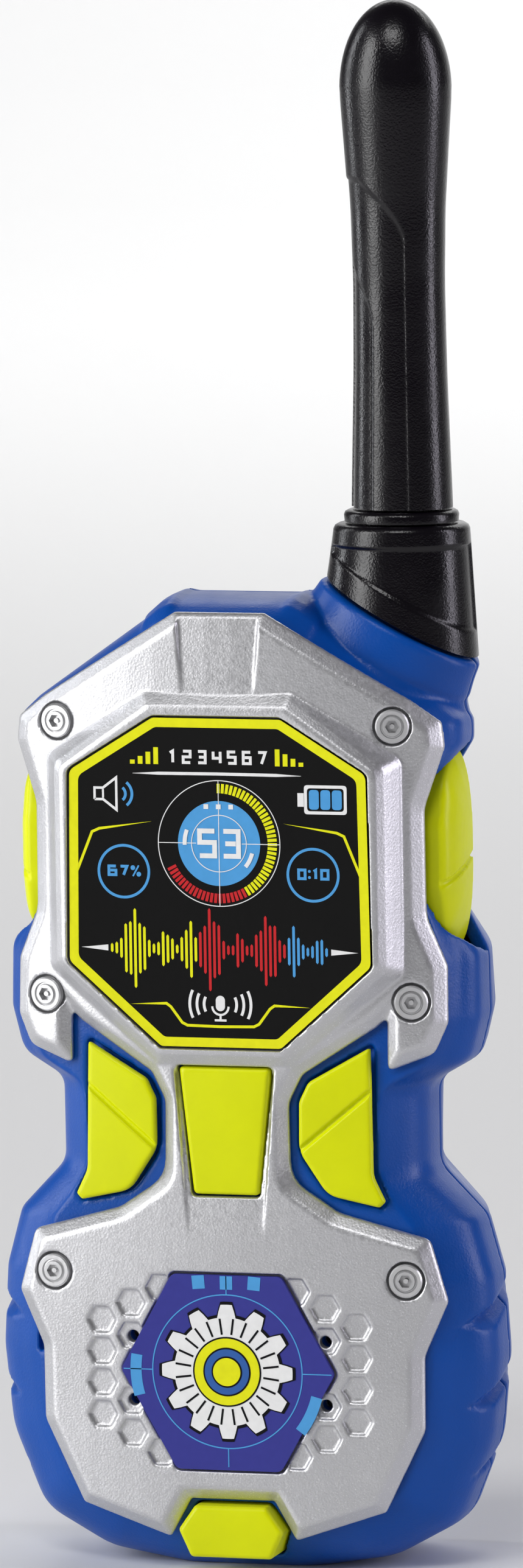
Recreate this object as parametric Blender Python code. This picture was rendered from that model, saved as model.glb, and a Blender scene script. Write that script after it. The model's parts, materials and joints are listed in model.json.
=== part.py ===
"""Toy walkie talkie: two blue shells, a silver fascia, keys, antenna, clip and the works inside.

+X is the object's right seen from the front, the front faces -Y, and +Z runs up the antenna.
Outlines are in millimetres, with depths counted from the front of the screen's frame. Objects
are in metres, and their origin is on the flat foot, under the middle of the whole object.
"""

import math

import bmesh
import bpy
import numpy as np
from mathutils import Matrix, Vector

MM = 0.001
GAP = 0.3  # between neighbouring pieces

# Driving depths, front to back, and the depth of the origin.
FOOT_Y = 22.4
FACE = 1.2  # silver surface on the centre line
FASCIA_WALL = 2.2
SHELL_FRONT = FACE + FASCIA_WALL + GAP
PARTING = 19.0
SHELL_BACK = 37.0
WALL = 2.4

# Where the rounding of the shells aims: a spine on the centre line.
SPINE_LOW = 33.0
SPINE_HIGH = 112.0

# Working parts inside.
BOARD_FRONT = 13.0
BOARD_THICK = 1.6
KEY_TRAVEL = 1.2
PLUNGER = 2.5  # from a switch's base to the tip of its plunger
STEM_END = BOARD_FRONT - GAP - PLUNGER - GAP - KEY_TRAVEL
SIDE_SWITCH = (21.2, 10.7, 107.5)
FOOT_SWITCH_Y = 16.2
SPEAKER_Z = 30.7
SPEAKER_RADIUS = 18.0
BATTERY = (26.5, 17.5, 46.5)
BATTERY_BOTTOM = 13.2
WELL = (14.0, 17.4, 12.5, 64.5)  # half width, floor Y, bottom Z, top Z
DOOR = (16.3, 35.6, 11.5, 72.0)  # half width, inner Y, bottom Z, top Z

# Antenna.
ANTENNA_X = 23.6
ANTENNA_Y = PARTING
ANTENNA_FLATTEN = 0.86
SEAT_TILT = math.radians(28.7)
SEAT_Z = 141.4
SEAT_RADIUS = 12.8
BASE_TOP = 155.4

# Belt clip.
CLIP_AXIS = (42.0, 118.0)  # Y, Z
CLIP_HALF_WIDTH = 9.0

FASCIA_BOLTS = {"top": (25.8, 126.8), "middle": (28.1, 86.0), "bottom": (27.1, 44.8)}
SCREW_LEDGE = 22.0
CASE_SCREWS = ((27.5, 33.0), (27.5, 81.0), (-27.5, 33.0), (-27.5, 81.0), (0.0, 135.0))
SOUND_HOLES = tuple((sx * 14.8, z) for sx in (1, -1) for z in (35.4, 25.9))
GRIP_GROOVES = ((37.3, 41.3), (37.5, 28.8), (35.9, 16.6))  # X of the bottom, Z

# Right halves of the outlines, bottom to top: X, Z and the corner's radius.
SHELL_HALF = (
    (9.0, -0.7, 12.0), (22.0, 1.5, 12.0), (32.3, 7.2, 8.0), (37.3, 19.5, 14.0), (38.5, 32.0, 14.0),
    (37.8, 44.0, 6.0), (35.4, 52.6, 3.0), (28.3, 60.0, 4.0), (28.3, 72.8, 3.0), (34.6, 76.4, 4.0),
    (36.3, 83.0, 3.0), (36.1, 92.2, 4.0), (31.3, 101.0, 5.0), (31.3, 119.0, 3.0), (34.0, 123.4, 2.0),
    (34.0, 126.8, 2.0), (31.0, 129.6, 4.0), (13.4, 142.0, 3.0), (9.0, 144.9, 2.0),
)  # fmt: skip
FASCIA_HALF = (
    (6.4, 11.2, 0.6), (9.7, 5.3, 0.6), (23.3, 9.9, 0.8), (29.3, 22.2, 3.0), (29.4, 33.4, 3.0),
    (33.0, 41.6, 1.5), (30.4, 50.8, 1.6), (16.8, 54.6, 5.0), (9.7, 59.4, 5.0), (9.5, 70.8, 4.0),
    (11.6, 75.0, 2.0), (22.7, 82.2, 0.8), (24.2, 83.6, 0.4), (24.2, 75.6, 0.8), (31.0, 78.2, 2.5),
    (33.0, 82.8, 2.0), (32.9, 91.2, 2.5), (29.9, 98.4, 6.0), (29.8, 114.5, 6.0), (32.8, 123.6, 1.5),
    (32.4, 127.2, 1.2), (28.0, 130.5, 3.0), (6.8, 143.4, 0.8),
)  # fmt: skip
SCREEN_HALF = ((9.2, 79.2, 1.2), (23.1, 91.6, 1.6), (22.7, 120.0, 1.6), (9.8, 128.0, 1.2))
BEZEL_HALF = ((9.9, 76.9, 1.0), (25.4, 91.0, 2.0), (25.4, 121.0, 2.0), (10.9, 131.0, 1.2))
BADGE_HALF = ((8.0, 15.9, 1.3), (16.4, 30.7, 1.2), (8.4, 45.1, 1.2))
TALK_HALF = ((5.0, 57.0, 0.8), (7.0, 76.0, 0.6))
FOOT_HALF = ((6.2, 2.6, 0.8), (8.1, 6.7, 0.8), (5.5, 10.4, 0.8))
GRIP_KEY = (
    (15.2, 57.1, 4.0), (22.9, 55.4, 0.5), (23.8, 56.3, 0.4), (22.0, 60.0, 4.0), (21.7, 79.2, 0.4),
    (12.4, 73.9, 2.0), (11.0, 71.0, 2.0), (10.9, 63.6, 5.0),
)  # fmt: skip
GRIP_KEY_NECK = ((13.2, 61.2, 0.8), (18.6, 60.2, 0.8), (18.4, 74.4, 0.8), (13.0, 71.6, 0.8))
SIDE_KEY = (  # Y and Z, seen from the side
    (18.3, 122.5, 0.4), (14.6, 121.4, 3.0), (10.4, 118.2, 5.0), (8.6, 112.0, 8.0), (8.6, 102.0, 6.0),
    (10.2, 96.4, 4.0), (14.4, 93.5, 2.0), (18.3, 92.6, 0.4),
)  # fmt: skip

# How the shells round off: depth from the front or back, and how far the outline draws in.
FRONT_ROUNDING = ((SHELL_FRONT, 8.2), (5.6, 5.0), (8.0, 2.2), (10.5, 0.9), (14.0, 0.2))
BACK_ROUNDING = ((SHELL_BACK, 9.6), (35.9, 6.9), (33.0, 4.4), (29.0, 2.8), (24.0, 1.2))
ANTENNA_PROFILE = (
    (157.7, 7.7), (166.0, 7.45), (178.0, 7.1), (191.0, 6.95), (202.0, 7.2), (211.0, 7.8), (219.0, 8.35),
    (223.5, 8.25), (227.5, 7.3), (230.2, 5.6), (231.9, 3.3), (232.5, 1.0),
)  # fmt: skip


# --- Geometry in the plane -------------------------------------------------------------------


def mirrored(half):
    """The closed outline whose right half is given, counter-clockwise seen from the front."""
    return list(half) + [(-x, z, r) for x, z, r in reversed(half)]


def offset(points, distance):
    """The outline moved inwards by distance, with mitred corners; it runs counter-clockwise."""
    flat = [Vector((point[0], point[1])) for point in points]
    moved = []
    for i, (_, _, radius) in enumerate(points):
        before = (flat[i] - flat[i - 1]).normalized()
        after = (flat[(i + 1) % len(flat)] - flat[i]).normalized()
        normal = Vector((-before.y, before.x)) + Vector((-after.y, after.x))
        spot = flat[i] + normal * (distance / (0.5 * normal.length_squared))
        moved.append((spot.x, spot.y, radius))
    return moved


def filleted(points, steps=2):
    """The outline with each corner turned into an arc of its radius."""
    out = []
    count = len(points)
    for i, (x, z, radius) in enumerate(points):
        corner = Vector((x, z))
        back = Vector(points[i - 1][:2]) - corner
        ahead = Vector(points[(i + 1) % count][:2]) - corner
        half = back.angle(ahead) / 2
        reach = min(radius / math.tan(half), 0.45 * back.length, 0.45 * ahead.length)
        start = corner + back.normalized() * reach
        end = corner + ahead.normalized() * reach
        for k in range(steps + 1):
            t = k / steps
            point = start * (1 - t) ** 2 + corner * (2 * t * (1 - t)) + end * t**2
            out.append((point.x, point.y))
    return out


def closed(half, steps=2):
    """The filleted outline whose right half is given."""
    return filleted(mirrored(half), steps)


# --- Meshes in millimetres --------------------------------------------------------------------


def loft(rings):
    """A closed body through rings of equal length, capped at both ends."""
    bm = bmesh.new()
    rows = [[bm.verts.new(point) for point in ring] for ring in rings]
    for near, far in zip(rows, rows[1:]):
        for i in range(len(near)):
            j = (i + 1) % len(near)
            bm.faces.new((near[i], near[j], far[j], far[i]))
    bm.faces.new(rows[0])
    bm.faces.new(rows[-1])
    return bm


def prism(outline, front, back):
    """The outline in X and Z, extruded from one depth to another."""
    return loft([[(x, y, z) for x, z in outline] for y in (front, back)])


def box(low, high):
    """A block between two corners."""
    bm = bmesh.new()
    size = Vector(high) - Vector(low)
    middle = (Vector(high) + Vector(low)) / 2
    bmesh.ops.create_cube(bm, size=1, matrix=Matrix.Translation(middle) @ Matrix.Diagonal((*size, 1)))
    return bm


def cylinder(start, end, radius, segments=20):
    """A round bar between two points."""
    start, end = Vector(start), Vector(end)
    turn = (end - start).to_track_quat("Z", "Y").to_matrix().to_4x4()
    bm = bmesh.new()
    bmesh.ops.create_cone(
        bm,
        cap_ends=True,
        segments=segments,
        radius1=radius,
        radius2=radius,
        depth=(end - start).length,
        matrix=Matrix.Translation((start + end) / 2) @ turn,
    )
    return bm


def turned(profile, middle, segments=32):
    """A closed profile of radius and depth, spun about the Y axis through a point."""
    bm = bmesh.new()
    verts = [bm.verts.new((radius, depth, 0)) for radius, depth in profile]
    edges = [bm.edges.new((verts[i - 1], verts[i])) for i in range(len(verts))]
    bmesh.ops.spin(
        bm, geom=verts + edges, cent=(0, 0, 0), axis=(0, 1, 0), angle=math.tau, steps=segments, use_merge=True
    )
    bmesh.ops.remove_doubles(bm, verts=bm.verts, dist=1e-4)
    bmesh.ops.translate(bm, verts=bm.verts, vec=middle)
    return bm


def tube(path, radius, sides=8):
    """A round wire along a path of points."""
    path = [Vector(point) for point in path]
    rings = []
    across = Vector((0.123, 0.456, 0.789))
    for i, point in enumerate(path):
        along = (path[min(i + 1, len(path) - 1)] - path[max(i - 1, 0)]).normalized()
        across = (across - along * across.dot(along)).normalized()
        other = along.cross(across)
        turns = [math.tau * k / sides for k in range(sides)]
        rings.append([point + (across * math.cos(t) + other * math.sin(t)) * radius for t in turns])
    return loft(rings)


def together(*bodies):
    """Several separate bodies in one mesh, for a cutter or a joining guide."""
    whole = bmesh.new()
    for body in bodies:
        mesh = bpy.data.meshes.new("together")
        body.to_mesh(mesh)
        whole.from_mesh(mesh)
        bpy.data.meshes.remove(mesh)
        body.free()
    return whole


def sliced(bm, xs=(), zs=()):
    """The same body with edges across it, so that it can follow the crown."""
    for at, normal in [((x, 0, 0), (1, 0, 0)) for x in xs] + [((0, 0, z), (0, 0, 1)) for z in zs]:
        geometry = bm.verts[:] + bm.edges[:] + bm.faces[:]
        bmesh.ops.bisect_plane(bm, geom=geometry, dist=1e-4, plane_co=at, plane_no=normal)
    return bm


# --- The crowned front ------------------------------------------------------------------------


def crown(x, z):
    """How far the front falls back at a place: a parabola, steeper on the head."""
    return float(np.interp(z, (50.0, 98.0), (0.0018, 0.0045))) * x * x


def crowned(bm, fade_from=SHELL_FRONT, fade_to=14.0):
    """Moves a body back by the crown, less and less towards the parting line, as flat triangles."""
    for vert in bm.verts:
        share = min(1.0, max(0.0, (fade_to - vert.co.y) / (fade_to - fade_from)))
        vert.co.y += crown(vert.co.x, vert.co.z) * share
    bmesh.ops.triangulate(bm, faces=bm.faces[:])
    return bm


def softness(z, depth):
    """How much of the full rounding the shells have: least beside the screen, and under the foot."""
    if depth < PARTING:
        return float(np.interp(z, (50, 62, 78, 92, 101, 130, 145), (1, 0.8, 0.6, 0.5, 0.3, 0.3, 0.5)))
    heights = (2, 20, 50, 62, 78, 90, 99, 119, 128, 145)
    return float(np.interp(z, heights, (0.25, 1, 1, 0.85, 0.65, 0.7, 1.1, 1.1, 0.9, 0.6)))


def drawn_in(outline, depth, inset, wall=0.0):
    """The outline at a depth, moved towards the spine by the inset and the wall."""
    ring = []
    for x, z in outline:
        spot = Vector((x, z))
        anchor = Vector((0.0, min(max(z, SPINE_LOW), SPINE_HIGH)))
        towards = (anchor - spot).normalized()
        moved = spot + towards * (inset * softness(z, depth) + wall)
        ring.append((moved.x, depth, moved.y))
    return ring


SLICE_X = (-27.0, -18.0, -9.0, 9.0, 18.0, 27.0)
SLICE_Z = (50.0, 74.0, 98.0)


# --- Objects ----------------------------------------------------------------------------------


def material(name, colour, roughness, metallic=0.0):
    """A Principled material of one colour."""
    made = bpy.data.materials.new(name)
    made.use_nodes = True
    shader = made.node_tree.nodes["Principled BSDF"]
    shader.inputs["Base Color"].default_value = (*colour, 1)
    shader.inputs["Roughness"].default_value = roughness
    shader.inputs["Metallic"].default_value = metallic
    made.diffuse_color = (*colour, 1)
    return made


def place(name, bm, finish=None, origin=(0.0, 0.0, 0.0)):
    """Makes a body in millimetres into an object whose origin is at the given millimetres."""
    bmesh.ops.recalc_face_normals(bm, faces=bm.faces[:])
    bmesh.ops.translate(bm, verts=bm.verts, vec=-Vector(origin))
    bmesh.ops.scale(bm, verts=bm.verts, vec=(MM, MM, MM))
    mesh = bpy.data.meshes.new(name)
    bm.to_mesh(mesh)
    bm.free()
    mesh.shade_smooth()
    mesh.set_sharp_from_angle(angle=math.radians(32))
    obj = bpy.data.objects.new(name, mesh)
    obj.location = (Vector(origin) - Vector((0.0, FOOT_Y, 0.0))) * MM
    bpy.context.collection.objects.link(obj)
    if finish:
        mesh.materials.append(finish)
    return obj


def shape(obj, operation, name, bm):
    """Cuts a body from an object or joins one to it, with a hidden guide."""
    guide = place(name, bm)
    guide.hide_render = True
    guide.display_type = "WIRE"
    modifier = obj.modifiers.new(name, "BOOLEAN")
    modifier.operation = operation
    modifier.solver = "EXACT"
    modifier.object = guide


def cut(obj, name, bm):
    """Cuts a body from an object."""
    shape(obj, "DIFFERENCE", name, bm)


def join(obj, name, bm):
    """Joins an overlapping body to an object."""
    shape(obj, "UNION", name, bm)


def flatten(obj):
    """Merges points 0.02 mm apart, and joins the flat faces that the cuts have split."""
    obj.modifiers.new("merge", "WELD").merge_threshold = 0.00002
    modifier = obj.modifiers.new("flatten", "DECIMATE")
    modifier.decimate_type = "DISSOLVE"
    modifier.angle_limit = math.radians(0.05)


# --- Shared pieces of shape --------------------------------------------------------------------


def bolt_axis(x, z):
    """The way a bolt points out of the crowned front at a place."""
    lean = math.atan(2 * crown(x, z) / x)
    return Vector((math.sin(lean), -math.cos(lean), 0.0))


def bolt_place(x, z):
    """The middle of a bolt's head on the silver surface."""
    return Vector((x, FACE + crown(x, z), z))


def bolt_bodies(radius, above, below):
    """Round bars along all six bolts, from above the silver surface to below it."""
    bars = []
    for x, z in FASCIA_BOLTS.values():
        for sx in (1, -1):
            axis = bolt_axis(sx * x, z)
            middle = bolt_place(sx * x, z)
            bars.append(cylinder(middle + axis * above, middle - axis * below, radius, 16))
    return together(*bars)


def seat_ring(drop, radius, depth_radius, count=32):
    """An ellipse parallel to the antenna's slanted seat, a drop below it."""
    along = Vector((math.cos(SEAT_TILT), 0, -math.sin(SEAT_TILT)))
    down = Vector((-math.sin(SEAT_TILT), 0, -math.cos(SEAT_TILT)))
    middle = Vector((ANTENNA_X, ANTENNA_Y, SEAT_Z)) + down * drop
    turns = [math.tau * k / count for k in range(count)]
    return [middle + along * radius * math.cos(t) + Vector((0, depth_radius * math.sin(t), 0)) for t in turns]


def collar_half(front):
    """One half of the slanted collar under the antenna, split at the parting plane."""
    rings = ((GAP, 13.1, 9.8), (3.2, 13.1, 9.8), (6.0, 13.9, 10.4), (8.4, 15.6, 11.4), (11.0, 15.6, 11.4))
    bm = loft([seat_ring(*ring) for ring in rings])
    side = PARTING - GAP / 2 if front else PARTING + GAP / 2
    result = bmesh.ops.bisect_plane(
        bm,
        geom=bm.verts[:] + bm.edges[:] + bm.faces[:],
        plane_co=(0, side, 0),
        plane_no=(0, 1 if front else -1, 0),
        clear_outer=True,
    )
    edges = [item for item in result["geom_cut"] if isinstance(item, bmesh.types.BMEdge)]
    bmesh.ops.edgeloop_fill(bm, edges=edges)
    return bm


def antenna_socket():
    """The bore for the antenna's spigot, and the way through for its wire."""
    down = Vector((-math.sin(SEAT_TILT), 0, -math.cos(SEAT_TILT)))
    seat = Vector((ANTENNA_X, ANTENNA_Y, SEAT_Z))
    bore = cylinder(seat - down * 3, seat + down * (6.0 + GAP), 5.0 + GAP, 24)
    wire = cylinder((ANTENNA_X - 1.0, ANTENNA_Y, 139), (ANTENNA_X - 1.0, ANTENNA_Y, 120), 1.6, 12)
    return bore, wire


def grip_cutters():
    """Slanted V grooves, three down each side of the lower grip."""
    cutters = []
    for depth_x, z in GRIP_GROOVES:
        for sx in (1, -1):
            rings = []
            for y in (7.0, 32.0):
                rise = (y - PARTING) * 0.36
                section = ((depth_x, 0.0), (depth_x + 2.6, 1.9), (depth_x + 2.6, -1.5))
                rings.append([(sx * x, y, z + rise + dz) for x, dz in section])
            cutters.append(loft(rings))
    return together(*cutters)


def side_ring(x, scale=1.0, outset=0.0):
    """The side key's outline at one distance out, shrunk towards its back edge's middle."""
    back, middle = SIDE_KEY[0][0], 107.5
    outline = filleted(offset(SIDE_KEY, -outset))
    return [(x, back + (y - back) * scale, middle + (z - middle) * scale) for y, z in outline]


def screw_bosses(radius, bore, front):
    """Posts round the case screws, on one side of the parting plane, and the holes down them."""
    stop = PARTING - GAP / 2 if front else PARTING + GAP / 2
    posts = []
    for x, z in CASE_SCREWS:
        start = (8.2 if x else SHELL_FRONT + 1.2) if front else 36.0
        posts.append(cylinder((x, start, z), (x, stop, z), radius, 12))
    ends = (stop + 1, 12.0) if front else (stop - 1, SCREW_LEDGE + 1)
    holes = [cylinder((x, ends[0], z), (x, ends[1], z), bore, 8) for x, z in CASE_SCREWS]
    return together(*posts), together(*holes)


# --- Casing -----------------------------------------------------------------------------------


def make_front_shell(blue):
    """The front half of the case: a cup open to the back, with windows for every key."""
    outline = closed(SHELL_HALF, 1)
    edge = PARTING - GAP / 2
    outer = [drawn_in(outline, y, inset) for y, inset in FRONT_ROUNDING]
    outer.append(drawn_in(outline, edge, 0.0))
    inner = [drawn_in(outline, edge, 0.0, WALL)]
    for y, inset in reversed(FRONT_ROUNDING[::2]):
        inner.append(drawn_in(outline, min(y + 2.2, edge - 1), inset, WALL))
    body = crowned(sliced(loft(outer + inner), SLICE_X, SLICE_Z), fade_from=SHELL_FRONT + 2.2)
    shell = place("front_shell", body, blue)
    join(shell, "front_collar", collar_half(front=True))
    posts, holes = screw_bosses(3.0, 1.15, front=True)
    join(shell, "front_posts", posts)
    cut(shell, "front_post_holes", holes)
    cut(shell, "front_antenna_bore", antenna_socket()[0])
    cut(shell, "front_wire_hole", antenna_socket()[1])
    cut(shell, "bolt_holes_in_shell", bolt_bodies(1.3, 1.0, 8.0))
    cut(shell, "front_grip_grooves", grip_cutters())
    cut(shell, "key_windows", together(*key_windows()))
    cut(shell, "grip_key_recesses", grip_key_recesses())
    backs = [box((32.5 * sx - 7.5, 17.0, 92.2), (32.5 * sx + 7.5, 20.0, 122.9)) for sx in (1, -1)]
    cut(shell, "side_window_backs", together(*backs))
    cut(shell, "shell_sound_holes", sound_holes())
    cut(shell, "snap_slot", box((-30.6, 0.0, 32.0), (-29.6, 7.2, 35.4)))
    cut(shell, "front_foot_flat", box((-30.0, 0.0, -5.0), (30.0, 20.0, 0.0)))
    flatten(shell)


def key_windows():
    """What the keys need cut out of the front shell."""
    windows = [prism(filleted(offset(mirrored(TALK_HALF), -GAP)), 0.0, 9.0)]
    windows.append(prism(filleted(offset(mirrored(FOOT_HALF), -GAP)), -1.0, 13.0))
    for sx in (1, -1):
        outline = [(sx * x, z) for x, z in filleted(offset(GRIP_KEY_NECK, -GAP))]
        windows.append(prism(outline, 0.0, 10.0))
        windows.append(loft([side_ring(sx * x, outset=GAP) for x in (25.0, 40.0)]))
    return windows


def grip_key_recesses():
    """Shallow recesses that the keys beside the talk button sink into."""
    recesses = []
    for sx in (1, -1):
        outline = [(sx * x, z) for x, z in filleted(offset(GRIP_KEY, -GAP))]
        recess = sliced(prism(outline, 0.0, SHELL_FRONT + KEY_TRAVEL), (sx * 15.0, sx * 19.0), (66.0,))
        recesses.append(crowned(recess, fade_from=SHELL_FRONT + 2.2))
    return together(*recesses)


def sound_holes():
    """Holes in front of the loudspeaker: four in sight, and a port behind the badge."""
    holes = [cylinder((x, -2.0, z), (x, 9.0, z), 0.9, 10) for x, z in SOUND_HOLES]
    port = cylinder((0.0, -2.0, SPEAKER_Z), (0.0, 9.0, SPEAKER_Z), 6.0, 16)
    return together(port, *holes)


def make_rear_shell(blue):
    """The rear half of the case: battery well, screw posts and the clip's two ears."""
    outline = closed(SHELL_HALF, 1)
    edge = PARTING + GAP / 2
    outer = [drawn_in(outline, y, inset) for y, inset in BACK_ROUNDING]
    outer.append(drawn_in(outline, edge, 0.0))
    inner = [drawn_in(outline, edge, 0.0, WALL)]
    for y, inset in reversed(BACK_ROUNDING[::2]):
        inner.append(drawn_in(outline, max(y - 2.2, edge + 1), inset, WALL))
    shell = place("rear_shell", loft(outer + inner), blue)
    half, floor, low, high = WELL
    join(shell, "well_box", box((-half - 1.2, floor - 1.2, low - 1.2), (half + 1.2, 36.0, high + 1.2)))
    join(shell, "door_pad", box((-17.6, 33.4, 64.9), (17.6, 36.0, 73.8)))
    join(shell, "door_post", cylinder((0, 25.0, 69.0), (0, 36.0, 69.0), 3.0, 16))
    join(shell, "rear_collar", collar_half(front=False))
    posts, holes = screw_bosses(3.9, 1.5, front=False)
    join(shell, "rear_posts", posts)
    cut(shell, "rear_post_holes", holes)
    heads = [cylinder((x, SCREW_LEDGE, z), (x, 40.0, z), 2.7, 12) for x, z in CASE_SCREWS]
    cut(shell, "screw_counterbores", together(*heads))
    cut(shell, "well", box((-half, floor, low), (half, 38.0, high)))
    width, _, bottom, top = DOOR
    cut(shell, "door_rebate", box((-width - GAP, 35.3, bottom - GAP), (width + GAP, 38.0, top + GAP)))
    cut(shell, "door_screw_hole", cylinder((0, 26.0, 69.0), (0, 37.0, 69.0), 1.8, 14))
    cut(shell, "rear_antenna_bore", antenna_socket()[0])
    cut(shell, "rear_wire_hole", antenna_socket()[1])
    cut(shell, "rear_grip_grooves", grip_cutters())
    axis_y, axis_z = CLIP_AXIS
    profile = ((36.0, -6.0), (axis_y + 0.6, -3.0), (axis_y + 2.8, 0.0), (axis_y + 0.6, 3.0), (36.0, 6.0))
    ears = []
    for sx in (1, -1):
        sides = (sx * (CLIP_HALF_WIDTH + GAP), sx * (CLIP_HALF_WIDTH + 3.0))
        ears.append(loft([[(x, y, axis_z + dz) for y, dz in profile] for x in sides]))
    join(shell, "clip_ears", together(*ears))
    pin = cylinder((-20, axis_y, axis_z), (20, axis_y, axis_z), 1.2 + GAP, 16)
    cut(shell, "clip_pin_holes", pin)
    cut(shell, "rear_foot_flat", box((-30.0, 18.0, -5.0), (30.0, 38.0, 0.0)))
    flatten(shell)


def make_fascia(silver):
    """The silver front plate: crowned, chamfered, with a raised frame round the screen."""
    corners = mirrored(FASCIA_HALF)
    levels = ((FACE, 1.7), (FACE + 0.5, 0.9), (FACE + 1.5, 0.0), (FACE + FASCIA_WALL, 0.0))
    rings = [[(x, y, z) for x, z in filleted(offset(corners, inset))] for y, inset in levels]
    body = crowned(sliced(loft(rings), SLICE_X, SLICE_Z), fade_from=FACE + FASCIA_WALL)
    fascia = place("fascia", body, silver)
    frame = mirrored(BEZEL_HALF)
    levels = ((0.0, 0.5), (0.5, 0.0), (FACE, -0.8), (FACE + 1.7, -1.2))
    rings = [[(x, y, z) for x, z in filleted(offset(frame, inset))] for y, inset in levels]
    raised = crowned(sliced(loft(rings), SLICE_X, SLICE_Z), fade_from=FACE + 1.7, fade_to=FACE)
    trough = [
        [(-8.3, -1.0, 76.8), (8.3, -1.0, 76.8), (7.5, 2.7, 76.8), (-7.5, 2.7, 76.8)],
        [(-6.0, -1.0, 49.3), (6.0, -1.0, 49.3), (5.7, FACE - 0.1, 49.3), (-5.7, FACE - 0.1, 49.3)],
    ]
    cut(fascia, "talk_trough", loft(trough))
    dip = [
        [(-7.0, -1.0, 145.0), (7.0, -1.0, 145.0), (6.4, FACE + 1.0, 145.0), (-6.4, FACE + 1.0, 145.0)],
        [(-5.6, -1.0, 129.5), (5.6, -1.0, 129.5), (5.4, FACE - 0.1, 129.5), (-5.4, FACE - 0.1, 129.5)],
    ]
    cut(fascia, "brow_dip", loft(dip))
    join(fascia, "screen_frame", raised)
    cut(fascia, "screen_pocket", prism(filleted(offset(mirrored(SCREEN_HALF), -GAP)), -1.0, 1.7))
    cut(fascia, "badge_pocket", prism(filleted(offset(mirrored(BADGE_HALF), -GAP)), -1.0, 2.1))
    cut(fascia, "talk_window", prism(filleted(offset(mirrored(TALK_HALF), -GAP)), -1.0, 6.0))
    cut(fascia, "bolt_seats", bolt_bodies(2.9, 1.5, 1.2))
    cut(fascia, "bolt_holes", bolt_bodies(1.3, 2.0, 6.0))
    cut(fascia, "sound_holes", sound_holes())
    flatten(fascia)


def make_bolt(name, x, z, steel):
    """A domed bolt with a hexagon socket, set square to the crowned front."""
    axis = bolt_axis(x, z)
    middle = bolt_place(x, z)
    bolt = place(name, cylinder(middle + axis * 0.15, middle - axis * 0.9, 2.5, 16), steel, middle)
    join(bolt, name + "_shank", cylinder(middle - axis * 0.5, middle - axis * 5.6, 1.0, 8))
    cut(bolt, name + "_socket", cylinder(middle + axis * 1.0, middle - axis * 0.6, 1.25, 6))


def make_case_screw(name, x, z, steel):
    """A pan-head screw from the back, holding the two shells together."""
    seat = SCREW_LEDGE + GAP
    screw = place(name, cylinder((x, seat, z), (x, seat + 1.8, z), 2.3, 16), steel, (x, seat, z))
    join(screw, name + "_shank", cylinder((x, seat + 1.0, z), (x, 13.0, z), 0.85, 8))
    cut(screw, name + "_slot", box((x - 1.4, seat + 1.0, z - 0.3), (x + 1.4, seat + 3.0, z + 0.3)))


# --- Keys ---------------------------------------------------------------------------------------


def make_talk_button(lime):
    """The long key in the middle: a wedge-shaped cap on a flange and a stem."""
    corners = mirrored(TALK_HALF)
    levels = ((1.7, 0.5), (2.1, 0.15), (2.8, 0.0), (6.5, 0.0))
    rings = [[(x, y, z) for x, z in filleted(offset(corners, inset))] for y, inset in levels]
    button = place("talk_button", loft(rings), lime, (0.0, 1.7, 66.5))
    flange = filleted(offset(corners, -1.3))
    join(button, "talk_flange", prism(flange, 6.4, 7.6))
    join(button, "talk_stem", cylinder((0, 7.2, 66.5), (0, STEM_END, 66.5), 1.8, 16))


def make_grip_key(name, side, lime):
    """A key beside the talk button, with a slanted groove across its face."""
    levels = ((2.3, 0.6), (2.7, 0.2), (3.3, 0.0), (SHELL_FRONT - GAP, 0.0))
    rings = [[(side * x, y, z) for x, z in filleted(offset(GRIP_KEY, inset))] for y, inset in levels]
    body = crowned(sliced(loft(rings), (side * 15.0, side * 19.0), (66.0,)))
    key = place(name, body, lime, (side * 16.5, 2.3, 67.0))
    levels = ((3.2, 0.0), (7.5, 0.0), (7.5, -1.0), (8.3, -1.0))
    rings = [[(side * x, y, z) for x, z in filleted(offset(GRIP_KEY_NECK, inset))] for y, inset in levels]
    join(key, name + "_neck", loft(rings))
    slope = math.atan2(72.2 - 64.6, 21.0 - 11.9)
    groove = box((-9.0, -3.0, -0.7), (9.0, 0.7, 0.7))
    bmesh.ops.rotate(groove, verts=groove.verts, matrix=Matrix.Rotation(-slope, 3, "Y"))
    bmesh.ops.translate(groove, verts=groove.verts, vec=(16.45, 2.95, 68.4))
    if side < 0:
        bmesh.ops.scale(groove, verts=groove.verts, vec=(-1, 1, 1))
    cut(key, name + "_groove", groove)
    join(key, name + "_stem", cylinder((side * 16.5, 8.0, 67.0), (side * 16.5, STEM_END, 67.0), 1.8, 12))


def make_side_key(name, side, lime):
    """A bulging crescent key in the side of the head, on a wider flange inside."""
    rings = [side_ring(side * x) for x in (26.9, 31.4)]
    for k in range(1, 6):
        turn = math.radians(90 * k / 6)
        rings.append(side_ring(side * (31.4 + 3.3 * math.sin(turn)), math.cos(turn) ** 0.8))
    key = place(name, loft(rings), lime, (side * 28.5, 14.0, 107.5))
    groove = box((-3.0, -8.0, -0.7), (3.0, 8.0, 0.7))
    bmesh.ops.rotate(groove, verts=groove.verts, matrix=Matrix.Rotation(math.radians(24), 3, "X"))
    bmesh.ops.translate(groove, verts=groove.verts, vec=(side * 36.4, 13.5, 105.8))
    cut(key, name + "_groove", groove)
    tabs = box((27.7 * side - 0.6, 14.4, 91.2), (27.7 * side + 0.6, 18.1, 123.9))
    join(key, name + "_tabs", tabs)
    switch_x, y, z = SIDE_SWITCH
    stem_end = switch_x + PLUNGER + GAP + KEY_TRAVEL
    join(key, name + "_stem", cylinder((side * 27.9, y, z), (side * stem_end, y, z), 1.2, 12))


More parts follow.
